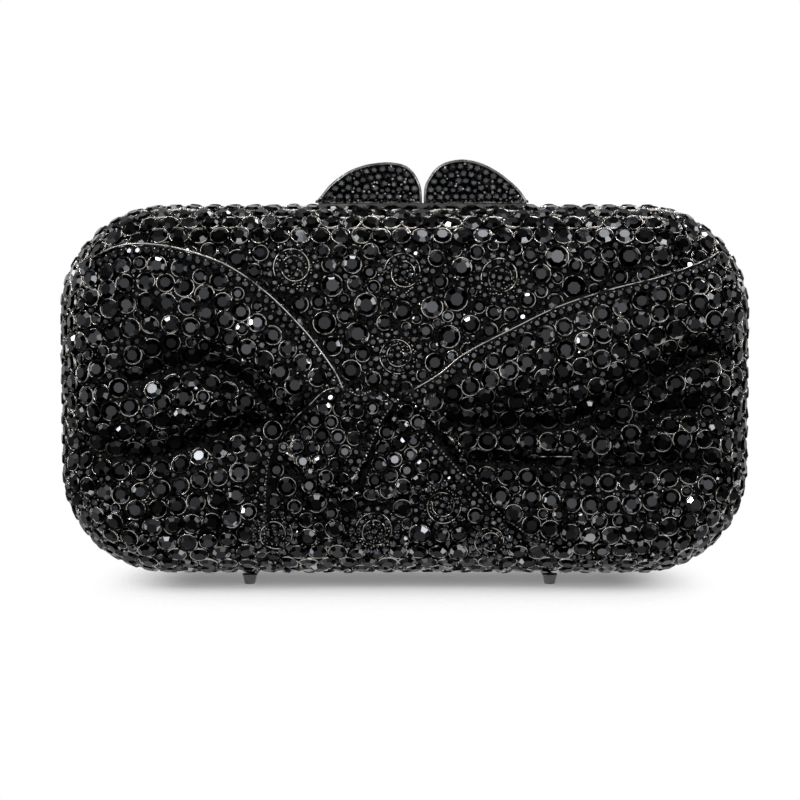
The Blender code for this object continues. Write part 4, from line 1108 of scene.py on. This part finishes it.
def make_stones(setting, word):
    """The stones, cups, small stones, beads and grit of one half, a piece for each zone."""
    kinds, zones = setting.kinds[:setting.count], setting.zones[:setting.count]
    body = setting.half.body
    for zone, zone_name in enumerate(ZONE_NAMES):
        for kind in (STONE, DOME, BEAD, GRIT):
            pick = np.flatnonzero((kinds == kind) & (zones == zone))
            if not len(pick):
                continue
            points, normals, size = setting.points[pick], setting.normals[pick], setting.radii[pick]
            lean = tilted(normals, STONE_TILT if kind == STONE else SMALL_TILT)
            base = f"{word}_{zone_name}_"
            if kind != STONE:
                name, shape, share, depth, lit, even, slot, material = SMALL_KINDS[kind]
                seat = points - normals * (share * size + depth)[:, None]
                dress(stamp(base + name, shape, seat, lean, size, lit=lit, even=even), body, slot, material)
                continue
            sink = CROWN_SHARE * size - STONE_PROUD + 0.25 * np.maximum(CUP_RADIUS - size, 0)
            seat = points - normals * sink[:, None]
            # Painted shade: stones and cups near a pleat get a lower glint, so they send back less light
            light = painted_pleat_shade(points) if setting.half.relief else 1.0
            glints = TAIL_GLINTS if zone == TAILS else TABLE_GLINTS
            # Each cup is turned as its stone is, by the same draws
            state = RNG.bit_generator.state
            stones = stamp(base + "stones", STONE_SHAPE, seat, lean, size, lit=light, glints=glints)
            dress(stones, body, "stones", BLACK_STONE)
            RNG.bit_generator.state = state
            cups = stamp(base + "cups", CUP_SHAPE, seat, lean, size, True, light, even=True)
            dress(cups, body, "gunmetal", CUP_METAL)


# Skins and linings: each half is one grid, its rim band wrapped round the rounded edge

def tray_grid(cells, inset, depth_of):
    """A grid over a half: beyond FLAT_SHARE it runs round the edge to the rim, within it lies on the face."""
    columns, rows = cells
    across, up = np.meshgrid(np.linspace(-1, 1, columns + 1), np.linspace(-1, 1, rows + 1))
    reach = np.maximum(np.abs(across), np.abs(up))
    safe = np.maximum(reach, 1e-9)
    turn = np.clip((1 - reach) / (1 - FLAT_SHARE), 0, 1) * math.pi / 2
    x, z = outline(across / safe, up / safe, inset + (EDGE_ROUND - inset) * (1 - np.cos(turn)))
    scale = np.minimum(reach / FLAT_SHARE, 1)
    x, z = x * scale, z * scale
    return np.stack([x, depth_of(x, z, turn), z + MIDDLE_Z], -1)


def tray(name, half, outer, inner):
    """A closed tray from an outer and an inner grid, joined round the rim."""
    high, wide = outer.shape[:2]
    count = wide * high
    points = np.vstack([outer.reshape(-1, 3), inner.reshape(-1, 3)])
    quads = strip_faces(high, wide, closed=False)
    rim = np.concatenate([np.arange(wide), np.arange(2, high + 1) * wide - 1,
                          count - 2 - np.arange(wide - 1), np.arange(high - 2, 0, -1) * wide])
    ahead = np.roll(rim, -1)
    wall = np.stack([rim, rim + count, ahead + count, ahead], -1)
    faces = [quads, flip(quads) + count, wall] if half.side < 0 else [flip(quads), quads + count, flip(wall)]
    return new_mesh(name, points, faces)


def hollow(half, floor, wave=None):
    """The depth of a plain hollow down to its floor, less a wave where one is given."""
    def depth_of(x, z, turn):
        less = wave(x, z, turn) if wave else 0.0
        return half.side * (RIM_START + (floor - RIM_START) * np.sin(turn) - less)
    return depth_of


def make_skin(half, word):
    """The dark metal skin under the stones, a little below their tops, with the hollow inside."""
    def depth_of(x, z, turn):
        grown = 1 + SKIN_SINK / (HALF_WIDTH - SKIN_SINK)
        deep = half.depth(x * grown, z * grown) - SKIN_SINK * np.sin(turn)
        return half.side * np.where(turn <= 0, RIM_START, np.maximum(deep, RIM_START))
    outer = tray_grid(SKIN_CELLS, SKIN_SINK, depth_of)
    inner = tray_grid(SKIN_CELLS, SHELL_WALL, hollow(half, half.floor))
    dress(tray(word + "_skin", half, outer, inner), half.body, "gunmetal", SKIN_METAL, word + "_shell")


def make_lining(half, word):
    """A thin cloth-covered tray inside the skin, with a soft quilting of puckers towards its edge."""
    inset = SHELL_WALL + GAP
    floor = half.floor - GAP

    def puckers(x, z, turn):
        return PUCKER_DEPTH * np.sin(x * 900 + np.sin(z * 400)) * np.sin(turn) ** 2 * (turn > 0)
    outer = tray_grid(LINING_CELLS, inset, hollow(half, floor))
    inner = tray_grid(LINING_CELLS, inset + LINING_THICKNESS, hollow(half, floor - LINING_THICKNESS, puckers))
    lining = tray(word + "_lining_tray", half, outer, inner)
    dress(lining, half.body, "lining", LINING_CLOTH, word + "_lining")


def make_lips():
    """Thin lips inside the back frame, left and right, that stand across the slit between the two frames."""
    x, z, out_x, out_z = along_outline(LIP_INSET, np.linspace(-0.3, 0.3, 361))
    keep = (x > LIP_END_X) & (z > LIP_FOOT_Z)
    x, z, out_x, out_z = x[keep], z[keep], out_x[keep], out_z[keep]
    low, high = LIP_REACH
    corners = ((0.0, low), (0.0, high), (LIP_THICKNESS, high), (LIP_THICKNESS, low))
    for word, side in (("left", -1), ("right", 1)):
        lines = [np.stack([side * (x - out_x * inset), np.full(len(x), y), z - out_z * inset + MIDDLE_Z], -1)
                 for inset, y in corners]
        dress(bar(word + "_case_lip", lines, side < 0), "back_half", "gunmetal", GUNMETAL)


# Wires and rosettes

def face_wire(half, line, radius):
    """A wire lying along a line on the face."""
    points, normals = half.on_face(line[:, 0], line[:, 1])
    smooth = np.array([np.convolve(np.pad(normals[:, axis], 4, "edge"), np.ones(9) / 9, "valid")
                       for axis in range(3)]).T
    return sweep(points, unit(smooth), radius)


def make_wires():
    """The wires along the wings' top edges, and the thin ones that draw folds."""
    for word, line, _ in wing_edges():
        wire = new_mesh(word + "_edge_wire", *face_wire(FRONT, line, WIRE_RADIUS[word]))
        dress(wire, "front_half", "bright_wire", WIRE_METAL, word + "_wing_wire")
    for index, table in enumerate(FOLD_WIRES_PX, start=1):
        wire = new_mesh(f"fold_wire_{index}", *face_wire(FRONT, from_photo(table, 50), FOLD_WIRE_RADIUS))
        dress(wire, "front_half", "bright_wire", ROSETTE_METAL)


def circle(centre, reach, angles):
    return np.stack([centre[0] + reach * np.cos(angles), centre[1] + reach * np.sin(angles)], -1)


def nearest(places, place):
    """Distance from a place to the nearest of several."""
    return np.hypot(*(places - place).T).min()


def make_rosette(index, centre, radius):
    """Stones in a ring of wire that opens into a second round, with a round of small stones at its rim."""
    start = RNG.uniform(0, 2 * math.pi)
    ring = radius * ROSETTE_RING
    degrees = np.linspace(0, ROSETTE_TURN, 160)
    opened = np.clip((degrees - ROSETTE_OPENS_AT) / ROSETTE_OPENING, 0, 1)
    reach = ring + (radius * ROSETTE_OPEN - ring) * opened
    line = circle(centre, reach, start + np.radians(degrees))
    wire = new_mesh(f"rosette_{index}_wire", *face_wire(FRONT, line, ROSETTE_WIRE_RADIUS))
    dress(wire, "front_half", "bright_wire", ROSETTE_METAL)
    # Rounds of stones: their distance from the middle, their number and radius
    rounds = [(0.0, 1, 0.00095), (ring * 0.64, 4, 0.00098), (radius * 0.62, 10, 0.00088),
              (radius * 0.92, 15, 0.00105)]
    places, sizes = [], []
    for reach, count, size in rounds:
        for place in circle(centre, reach, start + np.arange(count) * 2 * math.pi / count):
            if nearest(line, place) > size * (0.75 if reach > 0 else 0):
                places.append(place)
                sizes.append(size * RNG.uniform(*SPREAD["rosette"]))
    places, sizes = np.array(places), np.array(sizes)
    points, normals = FRONT.on_face(*places.T)
    seat = points - normals * (0.80 * sizes - 0.00015)[:, None]
    lean = tilted(normals, BUTTON_TILT)
    stones = stamp(f"rosette_{index}_stones", BUTTON_SHAPE, seat, lean, sizes, lit=0.82, even=True)
    dress(stones, "front_half", "stones", BLACK_STONE, f"rosette_{index}")
    kept = []
    for spot in circle(centre, np.sqrt(RNG.uniform(0, 1, 500)) * radius, RNG.uniform(0, 2 * math.pi, 500)):
        gap = (np.hypot(*(places - spot).T) - sizes).min()
        clear = gap > BEAD_CLEAR["stones"] and nearest(line, spot) > BEAD_CLEAR["wire"]
        if clear and (not kept or nearest(np.array(kept), spot) > BEAD_CLEAR["beads"]):
            kept.append(spot)
    points, normals = FRONT.on_face(*np.array(kept).T)
    sizes = RNG.uniform(*ROSETTE_BEADS, len(points))
    beads = stamp(f"rosette_{index}_beads", BEAD_SHAPE, points - normals * BEAD_SINK, normals, sizes, True)
    dress(beads, "front_half", "bright_wire", BRIGHT_METAL)


# Clasp petals and feet

def petal_outline(word, side, count=90):
    """A petal's outline, from its foot at the clasp's middle over the top to its outer foot."""
    line = through(PETAL_SHARES[word], count)
    x = CLASP_X + side * (PETAL_GAP / 2 + line[:, 0] * (PETAL_WIDTH - PETAL_GAP / 2))
    z = PETAL_FOOT_Z + line[:, 1] * (PETAL_TOP_Z[word] - PETAL_FOOT_Z)
    foot = np.linspace([x[-1], z[-1]], [x[0], z[0]], 14)[1:-1]
    return np.vstack([np.stack([x, z], -1), foot])


def drawn_in(loop, amount):
    """A closed loop moved inwards along its own normals."""
    ahead = unit(np.roll(loop, -1, axis=0) - np.roll(loop, 1, axis=0))
    inward = np.stack([ahead[:, 1], -ahead[:, 0]], -1)
    middle = loop.mean(axis=0)
    if ((middle - loop) * inward).sum() < 0:
        inward = -inward
    return loop + inward * amount


def petal_places(loop):
    """Rounds of even places, each drawn in from the one before, then smaller ones in the gaps left."""
    places, sizes = np.zeros((0, 2)), np.zeros(0)
    for step in range(PETAL_ROUNDS):
        inset = PETAL_BEZEL + PETAL_ROUND_START + step * PETAL_ROUND_STEP
        ring = drawn_in(loop, inset)
        for place in ring[signed_distance(*ring.T, loop) > inset * 0.93]:
            if not len(places) or nearest(places, place) > PETAL_PITCH:
                places = np.vstack([places, place])
                sizes = np.append(sizes, RNG.uniform(*PETAL_RADII))
    spots = RNG.uniform(loop.min(axis=0), loop.max(axis=0), (9000, 2))
    room = signed_distance(*spots.T, loop) - PETAL_BEZEL
    for place, size in zip(places, sizes):
        room = np.minimum(room, np.hypot(*(spots - place).T) - size)
    largest, least = PETAL_FILL
    while room.max() > PETAL_BEADS[1]:
        index = int(room.argmax())
        size = min(room[index] * 1.1, largest)
        size = size if size > least else min(size, PETAL_BEADS[0])
        places = np.vstack([places, spots[index]])
        sizes = np.append(sizes, size)
        room = np.minimum(room, np.hypot(*(spots - spots[index]).T) - size)
    return places, sizes


def ringed(name, loop, profile, mirrored):
    """A closed solid from a loop drawn in at each level of a profile of (inset, level)."""
    points = np.vstack([np.insert(drawn_in(loop, inset), 1, level, axis=1) for inset, level in profile])
    cap = np.arange(len(loop))[None]
    faces = [strip_faces(len(profile), len(loop)), flip(cap), cap + (len(profile) - 1) * len(loop)]
    return new_mesh(name, points, [flip(table) for table in faces] if mirrored else faces)


def make_petal(word, side, body):
    """A petal plate with a rounded bezel, its stones and beads on both faces, and the lug to its pivot."""
    loop = petal_outline(word, side)
    half = PETAL_THICKNESS / 2
    floor = half - PETAL_RECESS
    edge = half - PETAL_SOFT
    profile = [(1, floor), (0.85, edge), (0.70, half), (0.55, half), (0.45, edge), (0.30, edge),
               (0.20, half - PETAL_SOFT / 4), (0, half - PETAL_SOFT * 1.5)]
    profile = [(PETAL_BEZEL * share, level) for share, level in profile]
    profile = profile + [(inset, -level) for inset, level in profile[::-1]]
    plate = ringed(word + "_petal_plate", loop, profile, side < 0)
    dress(plate, body, "gunmetal", PETAL_METAL, word + "_petal")
    for face, face_name in ((-1, "front"), (1, "back")):
        set_petal(f"{word}_petal_{face_name}_", loop, face, face * floor, face * half, body)
    make_lug(word, body)


def set_petal(name, loop, face, floor, rim, body):
    """One face of a petal: its stones, the beads in the gaps left, and rough chips along its foot."""
    places, sizes = petal_places(loop)
    spots = np.insert(places, 1, floor, axis=1)
    out = np.array([[0.0, float(face), 0.0]])
    big = sizes > 0.0005
    normals = np.tile(out, (int(big.sum()), 1))
    stones = stamp(name + "stones", BUTTON_SHAPE, spots[big] + out * 0.00022, tilted(normals, BUTTON_TILT),
                   sizes[big] * 1.04, lit=0.79, even=True)
    dress(stones, body, "stones", BLACK_STONE)
    loose = ~big & (RNG.random(len(sizes)) < 0.8)
    count = int(loose.sum())
    beads = stamp(name + "beads", BEAD_SHAPE, spots[loose] + out * 0.00050, np.tile(out, (count, 1)),
                  sizes[loose] * RNG.uniform(1.0, 1.8, count))
    dress(beads, body, "bright_wire", BRIGHT_METAL)
    row = np.arange(loop[:, 0].min() + CHIP_MARGIN, loop[:, 0].max() - CHIP_MARGIN, CHIP_PITCH)
    count = len(row)
    row = row + RNG.uniform(-0.0002, 0.0002, count)
    rise = PETAL_FOOT_Z + RNG.uniform(*CHIP_RISE, count)
    chips = stamp(name + "foot_chips", BEAD_SHAPE, np.stack([row, np.full(count, rim), rise], -1),
                  np.tile(out, (count, 1)), RNG.uniform(*CHIP_RADII, count))
    dress(chips, body, "stones", BLACK_STONE)


def make_lug(word, body):
    """The flat lug from a petal down to its pin, with a round lower end."""
    low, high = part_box(word + "_clasp_pin")
    middle_x, pin_z = (low[0] + high[0]) / 2, (low[2] + high[2]) / 2
    angles = np.linspace(math.pi, 2 * math.pi, 25)
    arc = np.stack([middle_x + LUG_WIDTH / 2 * np.cos(angles), pin_z + LUG_END * np.sin(angles)], -1)
    top = PETAL_FOOT_Z + PETAL_BEZEL / 2
    loop = np.vstack([arc, [(middle_x + LUG_WIDTH / 2, top), (middle_x - LUG_WIDTH / 2, top)]])
    half = LUG_THICKNESS / 2
    profile = ((LUG_ROUND, -half), (0, LUG_ROUND - half), (0, half - LUG_ROUND), (LUG_ROUND, half))
    dress(ringed(word + "_petal_lug", loop, profile, True), body, "gunmetal", GUNMETAL)


def make_rails():
    """A low rough rail on each frame, just off the petals, that closes the view under their feet."""
    count = 160
    reach = PETAL_WIDTH - 0.0004
    x = np.linspace(CLASP_X - reach, CLASP_X + reach, count)
    low = np.full(count, FRAME_TOP - 0.0001)
    near, far = RAIL_SPAN
    for word, side in (("front", -1), ("back", 1)):
        bumps = np.convolve(RNG.uniform(-1, 1, count + 2), [0.25, 0.5, 0.25], "valid")
        top = PETAL_FOOT_Z + RAIL_RISE + RAIL_BUMP * bumps
        lines = [np.stack([x, np.full(count, side * y), z], -1)
                 for y, z in ((near, low), (near, top), (far, top - 0.0002), (far, low))]
        dress(bar(word + "_petal_rail", lines, side > 0), word + "_half", "gunmetal", GUNMETAL)


def make_foot(name, body):
    """A small foot: a thin flange, then a cone down to a rounded base."""
    low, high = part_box(name)
    centre = ((low[0] + high[0]) / 2, (low[1] + high[1]) / 2)
    top = high[2]
    profile = [(0.00198, top), (0.00200, top - 0.00015), (0.00196, top - 0.0004), (0.00178, top - 0.0005),
               (0.00174, top - 0.0009), (0.00146, 0.00035), (0.00138, 0.0001), (0.00125, 0.0)]
    dress(turned(name + "_cone", profile, centre), body, "gunmetal", GUNMETAL, name)


def finish_frame_nodes():
    """Real finishes on the CAD nodes that stay: frames, hinge and clasp metalwork."""
    finishes = {"hinge_pin": STEEL}
    for word in ("front", "back"):
        finishes[word + "_frame"] = finishes[word + "_hinge_leaf"] = GUNMETAL
    for word in ("left", "right"):
        for piece in ("bracket", "pin", "spring"):
            finishes[f"{word}_clasp_{piece}"] = STEEL
    for name, material in finishes.items():
        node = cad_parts[name]
        for index in range(len(node.data.materials)):
            node.data.materials[index] = material


# Floor, light and camera

def make_camera():
    """The photograph's view: a long lens, a little above the case's middle."""
    aim_x = -(BODY_MIDDLE_PX[0] - PHOTO_WIDTH_PX / 2) / PX_PER_METRE
    aim_z = MIDDLE_Z - (PHOTO_WIDTH_PX / 2 - BODY_MIDDLE_PX[1]) / PX_PER_METRE
    data = bpy.data.cameras.new("camera")
    data.sensor_width = SENSOR_WIDTH
    data.lens = PX_PER_METRE * CAMERA_DISTANCE * SENSOR_WIDTH / PHOTO_WIDTH_PX
    data.clip_start = 0.01
    camera = bpy.data.objects.new("camera", data)
    rise = CAMERA_DISTANCE * math.sin(CAMERA_LIFT)
    camera.location = (aim_x, -CAMERA_DISTANCE * math.cos(CAMERA_LIFT), aim_z + rise)
    camera.rotation_euler = (math.pi / 2 - CAMERA_LIFT, 0, 0)
    bpy.context.scene.collection.objects.link(camera)
    bpy.context.scene.camera = camera


def rays(tree):
    """Whether a ray comes from the camera, from gloss or glass, or from a lamp."""
    path = add_node(tree, "ShaderNodeLightPath").outputs
    mirrored = greatest(tree, path["Is Glossy Ray"], path["Is Transmission Ray"])
    return path["Is Camera Ray"], mirrored, path["Is Shadow Ray"]


def room_brightness(tree):
    """The room round the case: tall pale screens before and behind, narrow ones beside it, dark between."""
    place = place_in(tree, "Generated")
    axes = axes_of(tree, place)
    level = add_node(tree, "ShaderNodeCombineXYZ", X=axes["X"], Y=axes["Y"]).outputs["Vector"]
    way = add_node(tree, "ShaderNodeVectorMath", operation="NORMALIZE", Vector=level).outputs["Vector"]
    ways = axes_of(tree, way)
    ahead = product(tree, ways["Y"], -1.0)
    aside = math_node(tree, "ABSOLUTE", ways["X"])
    front = spread_node(tree, ahead, FRONT_SCREEN, (SCREEN_DARK, 1.0))
    back = spread_node(tree, ways["Y"], BACK_SCREEN, (SCREEN_DARK, 1.0))
    side = spread_node(tree, aside, SIDE_SCREEN, (SCREEN_DARK, 0.7))
    heights = ramp_node(tree, axes["Z"], *ROOM_HEIGHTS)
    panels = add_node(tree, "ShaderNodeTexNoise", Vector=place, Scale=2.2, Detail=1.0).outputs["Fac"]
    patch = spread_node(tree, panels, (0.40, 0.60), (0.75, 1.15))
    return product(tree, heights, greatest(tree, front, back, side), patch)


def light_brightness(tree):
    """The light on the object: strongest from a wide soft box overhead, weak from the sides."""
    up = axes_of(tree, place_in(tree, "Generated"))["Z"]
    return product(tree, ramp_node(tree, up, *LIGHT_HEIGHTS), OVERHEAD_LIGHT)


def make_world():
    """Plain white for the camera, the room for gloss and glass, and the soft box for all other light."""
    world = bpy.data.worlds.new("studio")
    bpy.context.scene.world = world
    world.use_nodes = True
    tree = world.node_tree
    seen, mirrored, _ = rays(tree)
    unseen = math_node(tree, "SUBTRACT", 1.0, greatest(tree, seen, mirrored))
    room = product(tree, mirrored, room_brightness(tree))
    light = product(tree, unseen, light_brightness(tree))
    total = math_node(tree, "ADD", seen, math_node(tree, "ADD", room, light))
    set_node(tree, tree.nodes["Background"], Color=(1, 1, 1, 1), Strength=total)


def mix_shaders(tree, share, first, second):
    node = add_node(tree, "ShaderNodeMixShader", Fac=share)
    tree.links.new(first, node.inputs[1])
    tree.links.new(second, node.inputs[2])
    return node.outputs["Shader"]


def make_floor():
    """A white floor that shows the case's shadow near it; farther out the white world shows through it.

    It is clear from below and for light, so that the half that swings below it, open, is seen and lit. In
    gloss and glass it is a painted glow instead: dimmer close in, darkest a little way out from the case as
    painted shade, brightest far out.
    """
    corners = FLOOR_REACH * np.array([(-1, -1, 0), (1, -1, 0), (1, 1, 0), (-1, 1, 0)])
    floor = new_mesh("floor", corners, [np.arange(4)[None]], False)
    material, tree, shader = new_material("white_floor", Base_Color=(0.9, 0.9, 0.9, 1), Roughness=0.9,
                                          Specular_IOR_Level=0.1)
    axes = axes_of(tree, place_in(tree, "Object"))
    aside, ahead = (math_node(tree, "ABSOLUTE", axes[name]) for name in "XY")
    near = product(tree, spread_node(tree, aside, SHADOW_ENDS["X"], (1.0, 0.0)),
                   spread_node(tree, ahead, SHADOW_ENDS["Y"], (1.0, 0.0)))
    plain = math_node(tree, "SUBTRACT", 1.0, product(tree, near, SHADOW_SHARE))
    seen, mirrored, lit = rays(tree)
    away = greatest(tree, ahead, math_node(tree, "SUBTRACT", aside, float(HALF_WIDTH)))
    # Painted glow for mirrored rays: dimmer close in, painted shade a little way out from the case, brightest
    # far out
    painted_floor_glow = greatest(tree, spread_node(tree, away, FLOOR_NEAR_AT, FLOOR_NEAR),
                         spread_node(tree, away, FLOOR_FAR_AT, FLOOR_FAR))
    level = add_node(tree, "ShaderNodeMix", data_type="FLOAT", Factor=mirrored, A=1.0, B=painted_floor_glow)
    white = add_node(tree, "ShaderNodeEmission", Strength=level.outputs["Result"])
    gloss = mix_shaders(tree, mirrored, shader.outputs["BSDF"], white.outputs["Emission"])
    probe = add_node(tree, "ShaderNodeAmbientOcclusion", inside=True, samples=4, Distance=HANGING_REACH)
    hanging = product(tree, spread_node(tree, probe.outputs["AO"], HANGING_LIGHT, (1.0, 0.0)), seen)
    behind = add_node(tree, "ShaderNodeNewGeometry").outputs["Backfacing"]
    share = greatest(tree, product(tree, plain, seen), greatest(tree, behind, lit, hanging))
    clear = mix_shaders(tree, share, gloss, add_node(tree, "ShaderNodeBsdfTransparent").outputs["BSDF"])
    tree.links.new(clear, tree.nodes["Material Output"].inputs["Surface"])
    floor.data.materials.append(material)


def add_lamp(name, place, width, height, power):
    """A rectangular lamp that faces the middle of the case."""
    data = bpy.data.lights.new(name, "AREA")
    data.shape = "RECTANGLE"
    data.size, data.size_y = width, height
    data.energy = power
    lamp = bpy.data.objects.new(name, data)
    lamp.location = place
    x, y, z = np.array((0.0, 0.0, MIDDLE_Z)) - place
    lamp.rotation_euler = (math.atan2(z, math.hypot(x, y)) + math.pi / 2, 0, math.atan2(y, x) - math.pi / 2)
    bpy.context.scene.collection.objects.link(lamp)


def main():
    bpy.context.scene.view_settings.view_transform = "Standard"
    make_camera()
    make_world()
    make_floor()
    for name, values in LAMPS.items():
        add_lamp(name, *values)
    finish_frame_nodes()
    for half, word in ((FRONT, "front"), (BACK, "back")):
        make_skin(half, word)
        make_lining(half, word)
    make_lips()
    make_stones(set_front(), "front")
    make_stones(set_back(), "back")
    make_wires()
    for index, (centre, radius) in enumerate(zip(ROSETTE_CENTRES, ROSETTE_RADII), start=1):
        make_rosette(index, centre, radius)
    make_rails()
    make_petal("left", -1, "left_clasp")
    make_petal("right", 1, "right_clasp")
    for word in ("left", "right"):
        make_foot("front_foot_" + word, "front_half")
        make_foot("back_foot_" + word, "back_half")


main()
